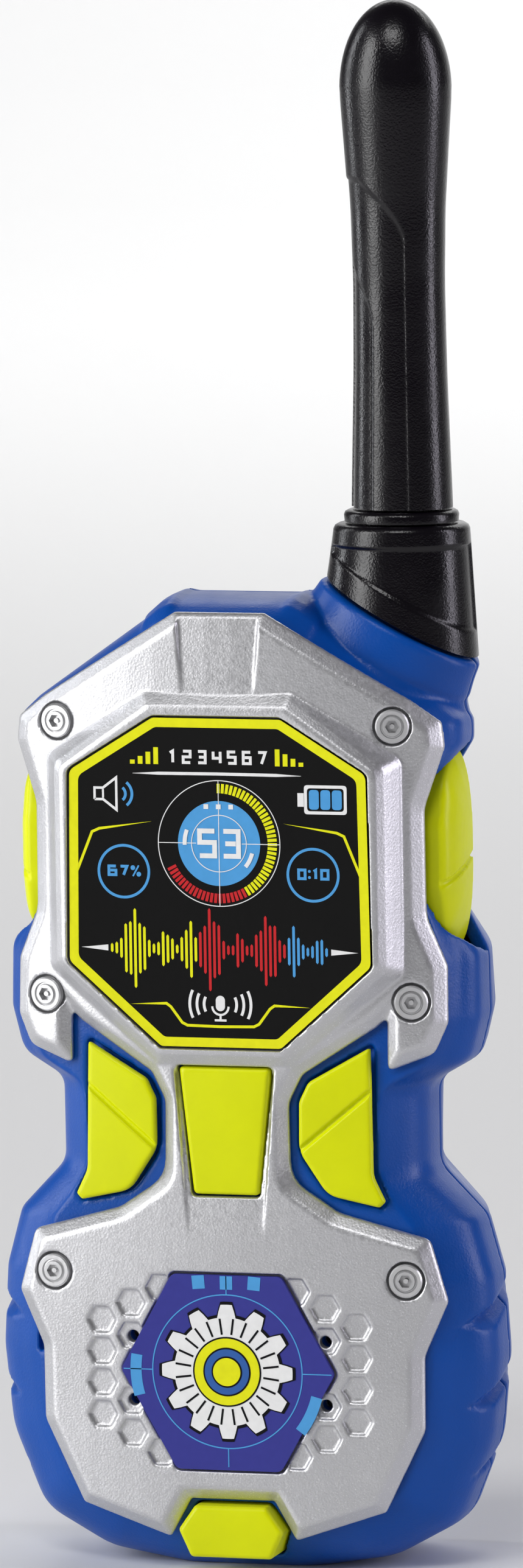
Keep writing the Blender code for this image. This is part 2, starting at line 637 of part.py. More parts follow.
def make_foot_key(lime):
    """The six-sided key at the foot of the fascia."""
    corners = mirrored(FOOT_HALF)
    levels = ((1.0, 1.0), (1.9, 0.2), (2.6, 0.0), (11.6, 0.0))
    rings = [[(x, y, z) for x, z in filleted(offset(corners, inset))] for y, inset in levels]
    key = place("foot_key", loft(rings), lime, (0.0, 1.0, 6.6))
    wings = box((-9.6, 11.0, 5.4), (9.6, 12.2, 8.0))
    join(key, "foot_key_wings", wings)


# --- Printed plates ------------------------------------------------------------------------------


def make_plates(screen_black, badge_blue):
    """The printed screen and the six-sided badge."""
    place("display_panel", prism(closed(SCREEN_HALF), 0.5, 1.4), screen_black, (0.0, 1.4, 104.0))
    place("badge_plate", prism(closed(BADGE_HALF), 1.0, 1.8), badge_blue, (0.0, 1.8, 30.7))


# --- Antenna -------------------------------------------------------------------------------------


def ellipse(z, radius, count=32):
    """A level ellipse round the antenna's axis."""
    depth = radius * ANTENNA_FLATTEN
    turns = [math.tau * k / count for k in range(count)]
    return [(ANTENNA_X + radius * math.cos(t), ANTENNA_Y + depth * math.sin(t), z) for t in turns]


def slanted_ellipse(radius, count=32):
    """The antenna base's lower edge, on the slanted seat."""
    ring = []
    for x, y, _ in ellipse(0.0, radius, count):
        ring.append((x, y, SEAT_Z - (x - ANTENNA_X) * math.tan(SEAT_TILT)))
    return ring


def make_antenna(black, copper):
    """The base on its slanted seat, a thin ring, the mast, and the wire inside them."""
    foot = slanted_ellipse(SEAT_RADIUS * math.cos(SEAT_TILT))
    body = loft([foot, ellipse(BASE_TOP - 0.8, 10.2), ellipse(BASE_TOP, 9.5)])
    base = place("antenna_base", body, black, (ANTENNA_X, ANTENNA_Y, SEAT_Z))
    down = Vector((-math.sin(SEAT_TILT), 0, -math.cos(SEAT_TILT)))
    seat = Vector((ANTENNA_X, ANTENNA_Y, SEAT_Z))
    join(base, "antenna_spigot", cylinder(seat - down * 2, seat + down * 5.7, 5.0, 20))
    wire_x = ANTENNA_X - 1.0
    hole = cylinder((wire_x, ANTENNA_Y, 120), (wire_x, ANTENNA_Y, 160), 0.9, 10)
    cut(base, "base_wire_hole", hole)
    body = loft([ellipse(BASE_TOP + GAP, 8.6), ellipse(BASE_TOP + 1.6, 8.6), ellipse(BASE_TOP + 2.0, 8.2)])
    ring = place("antenna_ring", body, black, (ANTENNA_X, ANTENNA_Y, BASE_TOP))
    cut(ring, "ring_wire_hole", cylinder((wire_x, ANTENNA_Y, 150), (wire_x, ANTENNA_Y, 165), 0.9, 10))
    body = loft([ellipse(z, radius) for z, radius in ANTENNA_PROFILE])
    mast = place("antenna_mast", body, black, (ANTENNA_X, ANTENNA_Y, ANTENNA_PROFILE[0][0]))
    cut(mast, "mast_wire_hole", cylinder((wire_x, ANTENNA_Y, 150), (wire_x, ANTENNA_Y, 216), 0.9, 10))
    wire = cylinder((wire_x, ANTENNA_Y, 127), (wire_x, ANTENNA_Y, 215), 0.5, 10)
    place("antenna_wire", wire, copper, (wire_x, ANTENNA_Y, 127))


# --- Works inside --------------------------------------------------------------------------------


def make_switch(name, base, axis, steel, half=3.0):
    """A tact switch: a square body standing along an axis, with a round plunger."""
    base, axis = Vector(base), Vector(axis)
    reach = Vector([1.7 * abs(part) / 2 + half * (1 - abs(part)) for part in axis])
    middle = base + axis * 1.7 / 2
    body = place(name, box(middle - reach, middle + reach), steel, base)
    join(body, name + "_plunger", cylinder(base + axis * 1.0, base + axis * PLUNGER, 0.5 * half, 12))


def make_board(green, black, steel, copper):
    """The circuit board in the head, the switches behind the keys, and the main components."""
    back = BOARD_FRONT + BOARD_THICK
    half = ((21.5, 52.5, 1.0), (21.5, 84.0, 1.0), (24.0, 90.0, 1.0), (24.0, 120.0, 1.0), (19.0, 126.0, 1.0))
    place("circuit_board", prism(closed(half), BOARD_FRONT, back), green, (0.0, BOARD_FRONT, 89.0))
    front = BOARD_FRONT - GAP
    make_switch("talk_switch", (0.0, front, 66.5), (0, -1, 0), steel)
    make_switch("right_grip_switch", (16.5, front, 67.0), (0, -1, 0), steel)
    make_switch("left_grip_switch", (-16.5, front, 67.0), (0, -1, 0), steel)
    make_switch("foot_switch", (0.0, FOOT_SWITCH_Y, 6.7), (0, -1, 0), steel)
    x, y, z = SIDE_SWITCH
    make_switch("right_side_switch", (x, y, z), (1, 0, 0), steel, 2.0)
    make_switch("left_side_switch", (-x, y, z), (-1, 0, 0), steel, 2.0)
    behind = back + GAP
    place("radio_chip", box((-9.0, behind, 92.0), (-1.0, behind + 2.2, 108.0)), black, (-5.0, behind, 100.0))
    place("crystal_can", box((4.0, behind, 100.0), (15.0, behind + 3.6, 104.6)), steel, (9.5, behind, 102.3))
    place("tuning_can", box((5.0, behind, 110.0), (12.5, behind + 9.0, 117.5)), steel, (8.75, behind, 113.7))
    can = cylinder((9.0, behind, 88.0), (9.0, behind + 9.0, 88.0), 3.2, 20)
    place("filter_capacitor", can, black, (9.0, behind, 88.0))
    x, y, z = -9.0, behind + 3.4, 112.0
    turns = [math.tau * k / 10 for k in range(10 * 4 + 1)]
    coil = [(x + 2.4 * math.cos(t), y + 2.4 * math.sin(t), z + 1.5 * t / math.tau) for t in turns]
    place("loading_coil", tube(coil, 0.35, 5), copper, (x, behind, z))


def make_speaker(steel, black, paper):
    """The loudspeaker behind the badge: basket, cone and magnet."""
    rim = SPEAKER_RADIUS
    front = 7.0
    spot = (0.0, 0.0, SPEAKER_Z)
    basket = ((rim, front), (rim, front + 0.8), (rim - 2.2, front + 0.8), (11.0, front + 4.4))
    basket += ((5.0, front + 4.4), (5.0, front + 3.6), (10.4, front + 3.6), (rim - 3.2, front + 0.4))
    basket += ((rim - 3.2, front),)
    place("speaker_basket", turned(basket, spot), steel, (0.0, front, SPEAKER_Z))
    cone = ((rim - 3.6, front + 0.1), (rim - 3.6, front + 0.5), (4.6, front + 3.1), (4.6, front + 4.0))
    cone += ((4.0, front + 4.0), (4.0, front + 2.7), (rim - 4.6, front + 0.1))
    place("speaker_cone", turned(cone, spot), paper, (0.0, front, SPEAKER_Z))
    magnet = cylinder((0, front + 4.7, SPEAKER_Z), (0, front + 8.9, SPEAKER_Z), 9.5, 28)
    place("speaker_magnet", magnet, black, (0.0, front + 4.7, SPEAKER_Z))


def make_battery(black, brass):
    """A nine-volt block battery with its snap connector."""
    width, depth, height = BATTERY
    front = WELL[1] + GAP
    low = BATTERY_BOTTOM
    middle = front + depth / 2
    top = low + height
    body = box((-width / 2, front, low), (width / 2, front + depth, top))
    battery = place("battery", body, brass, (0.0, middle, low))
    sizes = ((-6.4, 2.9), (6.4, 3.9))
    posts = [cylinder((x, middle, top - 1), (x, middle, top + 1.6), r, 14) for x, r in sizes]
    join(battery, "battery_terminals", together(*posts))
    body = box((-12.0, middle - 5.5, top + GAP), (12.0, middle + 5.5, top + 3.6))
    snap = place("battery_snap", body, black, (0.0, middle, top + GAP))
    sockets = [cylinder((x, middle, top - 1), (x, middle, top + 2.2), r + 0.4, 14) for x, r in sizes]
    cut(snap, "snap_sockets", together(*sockets))


def make_door(blue, steel):
    """The battery door, hinged on its lower edge, and the captive screw at its top."""
    half, inner, low, high = DOOR
    outline = filleted(mirrored(((half, low, 0.8), (half, high, 2.5))))
    door = place("battery_door", prism(outline, inner, SHELL_BACK), blue, (0.0, SHELL_BACK, low))
    ribs = [box((-11.0, SHELL_BACK - 0.5, z), (11.0, SHELL_BACK + 1.0, z + 1.2)) for z in (50.0, 53.0, 56.0)]
    cut(door, "door_grip_ribs", together(*ribs))
    cut(door, "door_screw_seat", cylinder((0, 34.0, 69.0), (0, 38.0, 69.0), 1.6, 14))
    screw = place("door_screw", cylinder((0, 37.3, 69.0), (0, 38.6, 69.0), 2.4, 18), steel, (0.0, 37.3, 69.0))
    join(screw, "door_screw_shank", cylinder((0, 37.8, 69.0), (0, 31.0, 69.0), 1.1, 10))
    cut(screw, "door_screw_slot", box((-1.7, 38.0, 68.7), (1.7, 39.0, 69.3)))


def make_clip(blue, steel):
    """The belt clip on its pin, with the spring that holds it closed."""
    axis_y, axis_z = CLIP_AXIS
    half = CLIP_HALF_WIDTH
    side = (
        (axis_y + 1.6, axis_z + 12.0), (axis_y - 0.6, axis_z + 12.0), (axis_y - 1.0, axis_z + 3.0),
        (axis_y - 2.6, axis_z), (axis_y - 0.2, axis_z - 4.0), (axis_y - 0.2, 86.0), (SHELL_BACK + 0.8, 82.5),
        (SHELL_BACK + 0.8, 80.5), (axis_y - 0.6, 78.0), (axis_y + 1.8, 79.0), (axis_y + 2.2, axis_z - 4.0),
        (axis_y + 2.6, axis_z),
    )  # fmt: skip
    body = loft([[(x, y, z) for y, z in side] for x in (-half, half)])
    clip = place("belt_clip", body, blue, (0.0, axis_y, axis_z))
    cut(clip, "clip_bore", cylinder((-20, axis_y, axis_z), (20, axis_y, axis_z), 1.2 + GAP, 16))
    cut(clip, "clip_spring_slot", box((-4.0, axis_y - 4.0, axis_z - 4.4), (4.0, axis_y + 4.0, axis_z + 3.4)))
    pin = cylinder((-half - 3.2, axis_y, axis_z), (half + 3.2, axis_y, axis_z), 1.2, 16)
    place("clip_pin", pin, steel, (0.0, axis_y, axis_z))
    steps = 11 * 4
    coil = []
    for k in range(steps + 1):
        t = math.tau * k / 11
        coil.append((-3.0 + 6.0 * k / steps, axis_y + 2.1 * math.cos(t), axis_z + 2.1 * math.sin(t)))
    place("clip_spring", tube(coil, 0.4, 5), steel, (0.0, axis_y, axis_z))


def main():
    """Builds the whole walkie talkie."""
    for old in list(bpy.data.objects):
        bpy.data.objects.remove(old, do_unlink=True)
    blue = material("shell_blue", (0.01, 0.09, 0.45), 0.42)
    silver = material("fascia_silver", (0.55, 0.55, 0.57), 0.38, 0.6)
    lime = material("key_lime", (0.68, 0.72, 0.0), 0.35)
    antenna_black = material("antenna_black", (0.016, 0.012, 0.02), 0.38)
    screen_black = material("screen_black", (0.005, 0.005, 0.005), 0.25)
    badge_blue = material("badge_blue", (0.05, 0.06, 0.3), 0.3)
    steel = material("steel", (0.5, 0.5, 0.52), 0.35, 1.0)
    copper = material("copper", (0.7, 0.3, 0.12), 0.35, 1.0)
    brass = material("battery_gold", (0.45, 0.32, 0.08), 0.35, 0.5)
    green = material("board_green", (0.01, 0.14, 0.05), 0.45)
    black = material("plain_black", (0.02, 0.02, 0.02), 0.5)
    paper = material("cone_paper", (0.05, 0.045, 0.04), 0.8)
    make_front_shell(blue)
    make_rear_shell(blue)
    make_fascia(silver)
    make_plates(screen_black, badge_blue)
    make_talk_button(lime)
    make_foot_key(lime)
    for side, word in ((1, "right"), (-1, "left")):
        make_grip_key(f"{word}_grip_key", side, lime)
        make_side_key(f"{word}_side_key", side, lime)
        for row, (x, z) in FASCIA_BOLTS.items():
            make_bolt(f"{word}_{row}_bolt", side * x, z, silver)
    for number, (x, z) in enumerate(CASE_SCREWS, start=1):
        make_case_screw(f"case_screw_{number}", x, z, steel)
    make_antenna(antenna_black, copper)
    make_board(green, black, steel, copper)
    make_speaker(steel, black, paper)
    make_battery(black, brass)
    make_door(blue, steel)
    make_clip(blue, steel)


main()
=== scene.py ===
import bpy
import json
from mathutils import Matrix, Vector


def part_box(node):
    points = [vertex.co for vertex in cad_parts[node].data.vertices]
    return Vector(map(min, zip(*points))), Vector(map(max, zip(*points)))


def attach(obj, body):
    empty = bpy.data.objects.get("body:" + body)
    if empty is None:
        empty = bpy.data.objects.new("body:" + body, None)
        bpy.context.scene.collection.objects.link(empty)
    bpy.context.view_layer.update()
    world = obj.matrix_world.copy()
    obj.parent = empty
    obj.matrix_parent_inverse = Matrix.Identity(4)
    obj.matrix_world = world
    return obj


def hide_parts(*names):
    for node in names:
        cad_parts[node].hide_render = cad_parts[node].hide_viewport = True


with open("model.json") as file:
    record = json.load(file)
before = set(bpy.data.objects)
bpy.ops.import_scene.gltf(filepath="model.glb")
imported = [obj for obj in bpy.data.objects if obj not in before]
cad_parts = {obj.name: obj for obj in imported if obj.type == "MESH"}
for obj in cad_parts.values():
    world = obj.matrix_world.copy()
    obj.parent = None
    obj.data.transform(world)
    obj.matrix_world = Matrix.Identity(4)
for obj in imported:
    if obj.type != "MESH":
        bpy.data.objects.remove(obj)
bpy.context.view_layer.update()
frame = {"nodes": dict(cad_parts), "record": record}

"""Looks for the toy walkie talkie: moulded skins with soft edges, printed plates and materials.

Shapes are drawn in millimetres. X and Z are the frame's own, and depths run back from the
foremost point of the object.
"""

import json
import math

import bmesh
import bpy
import numpy as np
from mathutils import Matrix, Vector

MM = 0.001
FRONT_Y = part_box("fascia")[0].y  # depth zero, in metres
GAP = 0.3
INK_THICK = 0.05
FACE = 1.2
SHELL_FRONT = 3.7
PARTING = 19.0
SHELL_BACK = 37.0
WALL = 2.4
CASE_FLOOR = 2.2
SPINE_LOW = 33.0
SPINE_HIGH = 112.0
BADGE_Z = 30.7
SIDES = ((1, "right"), (-1, "left"))

ANTENNA_X = 23.6
ANTENNA_Y = PARTING
ANTENNA_FLATTEN = 0.86
SEAT_TILT = math.radians(28.7)
SEAT_Z = 141.4
SEAT_RADIUS = 12.8
SEAT = Vector((ANTENNA_X, ANTENNA_Y, SEAT_Z))
SEAT_DOWN = Vector((-math.sin(SEAT_TILT), 0, -math.cos(SEAT_TILT)))
SPIGOT_RADIUS = 5.0
BASE_TOP = 155.4
TIP_FROM, TIP_RADIUS = 219.0, 8.35

FASCIA_BOLTS = {"top": (25.8, 126.8), "middle": (28.1, 86.0), "bottom": (27.1, 44.8)}
SCREW_LEDGE = 22.0
CLIP_AXIS = (42.0, 118.0)  # depth and height of the clip's pin
CASE_SCREWS = ((27.5, 33.0), (27.5, 81.0), (-27.5, 33.0), (-27.5, 81.0), (0.0, 135.0))
SOUND_HOLES = tuple((sx * 14.8, z) for sx in (1, -1) for z in (35.4, 25.9))
GRIP_GROOVES = ((37.3, 41.3), (37.5, 28.8), (35.9, 16.6))

# Right halves of the outlines, bottom to top: X, Z and the corner's radius.
SHELL_HALF = (
    (9.0, -0.7, 12.0), (22.0, 1.5, 12.0), (32.3, 7.2, 8.0), (37.3, 19.5, 14.0), (38.5, 32.0, 14.0),
    (37.8, 44.0, 6.0), (35.4, 52.6, 3.0), (28.3, 60.0, 4.0), (28.3, 72.8, 3.0), (34.6, 76.4, 4.0),
    (36.3, 83.0, 3.0), (36.1, 92.2, 4.0), (31.3, 101.0, 5.0), (31.3, 119.0, 3.0), (34.0, 123.4, 2.0),
    (34.0, 126.8, 2.0), (31.0, 129.6, 4.0), (13.4, 142.0, 3.0), (9.0, 144.9, 2.0),
)
FASCIA_HALF = (
    (6.4, 11.2, 0.6), (9.7, 5.3, 0.6), (23.3, 9.9, 0.8), (29.3, 22.2, 3.0), (29.4, 33.4, 3.0),
    (33.0, 41.6, 1.5), (30.4, 50.8, 1.6), (16.8, 54.6, 5.0), (9.7, 59.4, 5.0), (9.5, 70.8, 4.0),
    (11.6, 75.0, 2.0), (22.7, 82.2, 0.8), (24.2, 83.6, 0.4), (24.2, 75.6, 0.8), (31.0, 78.2, 2.5),
    (33.0, 82.8, 2.0), (32.9, 91.2, 2.5), (29.9, 98.4, 6.0), (29.8, 114.5, 6.0), (32.8, 123.6, 1.5),
    (32.4, 127.2, 1.2), (28.0, 130.5, 3.0), (6.8, 143.4, 0.8),
)
SCREEN_HALF = ((9.2, 79.2, 1.2), (23.1, 91.6, 1.6), (22.7, 120.0, 1.6), (9.8, 128.0, 1.2))
BEZEL_HALF = ((9.9, 76.9, 1.0), (25.4, 91.0, 2.0), (25.4, 121.0, 2.0), (10.9, 131.0, 1.2))
BADGE_HALF = ((8.0, 15.9, 1.3), (16.4, 30.7, 1.2), (8.4, 45.1, 1.2))
TALK_HALF = ((5.0, 57.0, 0.8), (7.0, 76.0, 0.6))
FOOT_HALF = ((6.2, 2.6, 0.8), (8.1, 6.7, 0.8), (5.5, 10.4, 0.8))
GRIP_KEY = (
    (15.2, 57.1, 4.0), (22.9, 55.4, 0.5), (23.8, 56.3, 0.4), (22.0, 60.0, 4.0), (21.7, 79.2, 0.4),
    (12.4, 73.9, 2.0), (11.0, 71.0, 2.0), (10.9, 63.6, 5.0),
)
GRIP_KEY_NECK = ((13.2, 61.2, 0.8), (18.6, 60.2, 0.8), (18.4, 74.4, 0.8), (13.0, 71.6, 0.8))
SIDE_KEY = (
    (18.3, 122.5, 0.4), (14.6, 121.4, 3.0), (10.4, 118.2, 5.0), (8.6, 112.0, 8.0), (8.6, 102.0, 6.0),
    (10.2, 96.4, 4.0), (14.4, 93.5, 2.0), (18.3, 92.6, 0.4),
)
SIDE_KEY_Z = 107.5
SIDE_KEY_EDGE, SIDE_KEY_BULGE = 31.4, 2.7
ANTENNA_PROFILE = (
    (157.7, 7.7), (166.0, 7.45), (178.0, 7.1), (191.0, 6.95), (202.0, 7.2), (211.0, 7.8), (219.0, 8.35),
    (223.5, 8.25), (227.5, 7.3), (230.2, 5.6), (231.9, 3.3), (232.5, 1.0),
)
CELL_WIDE, CELL_NARROW = 4.15, 3.6
HONEYCOMB = {19.6: (37.8, 33.1, 28.4, 23.6), 14.95: (40.5, 35.6, 25.8, 21.0), 10.4: (42.9, 18.2)}


# --- Geometry in the plane ---


def mirrored(half):
    """The closed outline whose right half is given."""
    return list(half) + [(-x, z, r) for x, z, r in reversed(half)]


def offset(points, distance):
    """The outline moved inwards by distance, with mitred corners."""
    flat = [Vector((point[0], point[1])) for point in points]
    moved = []
    for i, (_, _, radius) in enumerate(points):
        before = (flat[i] - flat[i - 1]).normalized()
        after = (flat[(i + 1) % len(flat)] - flat[i]).normalized()
        normal = Vector((-before.y, before.x)) + Vector((-after.y, after.x))
        spot = flat[i] + normal * (distance / (0.5 * normal.length_squared))
        moved.append((spot.x, spot.y, radius))
    return moved


def filleted(points, steps=7):
    """The outline with each corner turned into an arc of its radius."""
    out = []
    count = len(points)
    for i, (x, z, radius) in enumerate(points):
        corner = Vector((x, z))
        back = Vector(points[i - 1][:2]) - corner
        ahead = Vector(points[(i + 1) % count][:2]) - corner
        half = back.angle(ahead) / 2
        reach = min(radius / math.tan(half), 0.45 * back.length, 0.45 * ahead.length)
        start = corner + back.normalized() * reach
        end = corner + ahead.normalized() * reach
        for k in range(steps + 1):
            t = k / steps
            point = start * (1 - t) ** 2 + corner * (2 * t * (1 - t)) + end * t**2
            out.append((point.x, point.y))
    return out


def closed(half, steps=7):
    """The filleted outline whose right half is given."""
    return filleted(mirrored(half), steps)


def around(count):
    """Even turns once round, in radians."""
    return [math.tau * k / count for k in range(count)]


def circle(x, z, radius, count=48):
    """A round outline."""
    return [(x + radius * math.cos(t), z + radius * math.sin(t)) for t in around(count)]


def rectangle(x0, z0, x1, z1):
    """A square-cornered outline between two corners."""
    return [(x0, z0), (x1, z0), (x1, z1), (x0, z1)]


# --- Meshes in millimetres ---


def loft(rings, caps=True):
    """A closed body through rings of equal length."""
    bm = bmesh.new()
    rows = [[bm.verts.new(point) for point in ring] for ring in rings]
    for near, far in zip(rows, rows[1:]):
        for i in range(len(near)):
            j = (i + 1) % len(near)
            bm.faces.new((near[i], near[j], far[j], far[i]))
    if caps:
        bm.faces.new(rows[0])
        bm.faces.new(rows[-1])
    return bm


def prism(outline, front, back):
    """The outline in X and Z, extruded from one depth to another."""
    return loft([[(x, y, z) for x, z in outline] for y in (front, back)])


def levelled(corners, levels, side=1, steps=7):
    """A body whose outline is drawn in by a different inset at each depth."""
    rings = [(y, filleted(offset(corners, inset), steps)) for y, inset in levels]
    return loft([[(side * x, y, z) for x, z in ring] for y, ring in rings])


def window(half, front, back):
    """A prism that clears the outline whose right half is given."""
    return prism(filleted(offset(mirrored(half), -GAP)), front, back)


def box(low, high):
    """A block between two corners."""
    bm = bmesh.new()
    size = Vector(high) - Vector(low)
    middle = (Vector(high) + Vector(low)) / 2
    bmesh.ops.create_cube(bm, size=1, matrix=Matrix.Translation(middle) @ Matrix.Diagonal((*size, 1)))
    return bm


def cylinder(start, end, radius, segments=32):
    """A round bar between two points."""
    start, end = Vector(start), Vector(end)
    turn = (end - start).to_track_quat("Z", "Y").to_matrix().to_4x4()
    place = Matrix.Translation((start + end) / 2) @ turn
    size = {"segments": segments, "radius1": radius, "radius2": radius, "depth": (end - start).length}
    bm = bmesh.new()
    bmesh.ops.create_cone(bm, cap_ends=True, matrix=place, **size)
    return bm


def together(*bodies):
    """Several separate bodies in one mesh."""
    whole = bmesh.new()
    for body in bodies:
        mesh = bpy.data.meshes.new("together")
        body.to_mesh(mesh)
        whole.from_mesh(mesh)
        bpy.data.meshes.remove(mesh)
        body.free()
    return whole


def sliced(bm, xs=(), zs=()):
    """The same body with edges across it, so that it can follow a curve."""
    for at, normal in [((x, 0, 0), (1, 0, 0)) for x in xs] + [((0, 0, z), (0, 0, 1)) for z in zs]:
        geometry = bm.verts[:] + bm.edges[:] + bm.faces[:]
        bmesh.ops.bisect_plane(bm, geom=geometry, dist=1e-4, plane_co=at, plane_no=normal)
    return bm


# --- The crowned front ---


def crown(x, z):
    """How far the front falls back at a place."""
    return float(np.interp(z, (50.0, 98.0), (0.0018, 0.0045))) * x * x


def crowned(bm, fade_from=SHELL_FRONT, fade_to=14.0):
    """Moves a body back by the crown, less and less towards the parting line."""
    for vert in bm.verts:
        share = min(1.0, max(0.0, (fade_to - vert.co.y) / (fade_to - fade_from)))
        vert.co.y += crown(vert.co.x, vert.co.z) * share
    bmesh.ops.triangulate(bm, faces=bm.faces[:])
    return bm


def crowned_object(obj, xs, zs, triangles=False, **fade):
    """Gives an object's mesh edges across it and moves it back by the crown."""
    bm = bmesh.new()
    bm.from_mesh(obj.data)
    if triangles:
        bmesh.ops.triangulate(bm, faces=bm.faces[:])
    crowned(sliced(bm, xs, zs), **fade)
    bm.to_mesh(obj.data)
    bm.free()


def softness(z, depth):
    """How much of the full rounding the shells have: least beside the screen, and under the foot."""
    if depth < PARTING:
        return float(np.interp(z, (50, 62, 78, 92, 101, 130, 145), (1, 0.8, 0.6, 0.5, 0.3, 0.3, 0.5)))
    heights = (2, 20, 50, 62, 78, 90, 99, 119, 128, 145)
    return float(np.interp(z, heights, (0.25, 1, 1, 0.85, 0.65, 0.7, 1.1, 1.1, 0.9, 0.6)))


def front_inset(depth):
    """How far the front half's outline draws in, for a fully rounded place."""
    return 8.2 * (1 - min(1.0, max(0.0, (depth - SHELL_FRONT) / (PARTING - SHELL_FRONT)))) ** 3.7


def rear_inset(depth):
    """How far the rear half's outline draws in: a long draft, then a rounded edge."""
    rounding = 4.4 * (1 - min(1.0, (SHELL_BACK - depth) / 12.0) ** 0.55) ** 1.8
    return 0.28 * (depth - PARTING) * min(1.0, (depth - PARTING) / 4.0) + rounding


def case_inset(depth):
    """How far the case's outline draws in at a depth."""
    return front_inset(depth) if depth < PARTING else rear_inset(depth)


def drawn_in(outline, depth, inset, wall=0.0):
    """The outline at a depth, moved towards the spine by the inset and the wall."""
    ring = []
    for x, z in outline:
        spot = Vector((x, z))
        anchor = Vector((0.0, min(max(z, SPINE_LOW), SPINE_HIGH)))
        towards = (anchor - spot).normalized()
        goal = spot + towards * (inset * softness(z, depth) + wall)
        ring.append((goal.x, depth, goal.y))
    return ring


CROWN_X = [x for x in range(-34, 36, 4) if x]
CROWN_Z = [50, 58, 66, 74, 82, 90, 98]


# --- Objects ---


def raw(name, bm):
    """An object in millimetres, not yet part of the model."""
    bmesh.ops.recalc_face_normals(bm, faces=bm.faces[:])
    mesh = bpy.data.meshes.new(name)
    bm.to_mesh(mesh)
    bm.free()
    obj = bpy.data.objects.new(name, mesh)
    bpy.context.collection.objects.link(obj)
    return obj


def baked(obj):
    """Applies an object's modifiers to its mesh."""
    depsgraph = bpy.context.evaluated_depsgraph_get()
    mesh = bpy.data.meshes.new_from_object(obj.evaluated_get(depsgraph))
    old = obj.data
    obj.modifiers.clear()
    obj.data = mesh
    bpy.data.meshes.remove(old)
    mesh.name = obj.name


def shape(obj, operation, bodies):
    """Cuts bodies from an object, or joins them to it."""
    guide = raw("guide", together(*bodies))
    modifier = obj.modifiers.new("shape", "BOOLEAN")
    modifier.operation = operation
    modifier.solver = "EXACT"
    modifier.object = guide
    baked(obj)
    bpy.data.meshes.remove(guide.data)


def cut(obj, *bodies):
    """Cuts bodies from an object."""
    shape(obj, "DIFFERENCE", bodies)


def join(obj, *bodies):
    """Joins overlapping bodies to an object."""
    shape(obj, "UNION", bodies)


def moulded(obj, voxel, smooth, keep):
    """Gives an object the softly rounded edges of a moulding, and keeps a share of its faces."""
    remesh = obj.modifiers.new("remesh", "REMESH")
    remesh.mode, remesh.voxel_size = "VOXEL", voxel
    soft = obj.modifiers.new("soft", "SMOOTH")
    soft.factor, soft.iterations = 0.5, smooth
    obj.modifiers.new("thin", "DECIMATE").ratio = keep
    baked(obj)


PAINT = {}  # every material, by a short name


def finish(obj, ink, body, slot, *nodes, sharp=None):
    """Turns an object from millimetres into metres, in place, and ties it to the frame."""
    mesh = obj.data
    mesh.transform(Matrix.Translation((0, FRONT_Y, 0)) @ Matrix.Scale(MM, 4))
    mesh.shade_smooth()
    if sharp:
        mesh.set_sharp_from_angle(angle=math.radians(sharp))
    mesh.materials.clear()
    mesh.materials.append(PAINT[ink])
    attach(obj, body)
    if nodes:
        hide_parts(*nodes)


BODY_OF = {node: body for body, nodes in frame["record"]["behaviour"]["bodies"].items() for node in nodes}
SLOT_OF = {entry["node"]: entry["material_slot"] for entry in frame["record"]["subparts"]}


def refined(node, ink, voxel, smooth, keep):
    """A CAD node's shape with softly rounded edges, in its place."""
    obj = bpy.data.objects.new(node + "_skin", frame["nodes"][node].data.copy())
    bpy.context.collection.objects.link(obj)
    obj.data.transform(Matrix.Scale(1 / MM, 4) @ Matrix.Translation((0, -FRONT_Y, 0)))
    obj.modifiers.new("weld", "WELD").merge_threshold = 0.001
    moulded(obj, voxel, smooth, keep)
    finish(obj, ink, BODY_OF[node], SLOT_OF[node], node)


# --- Materials ---


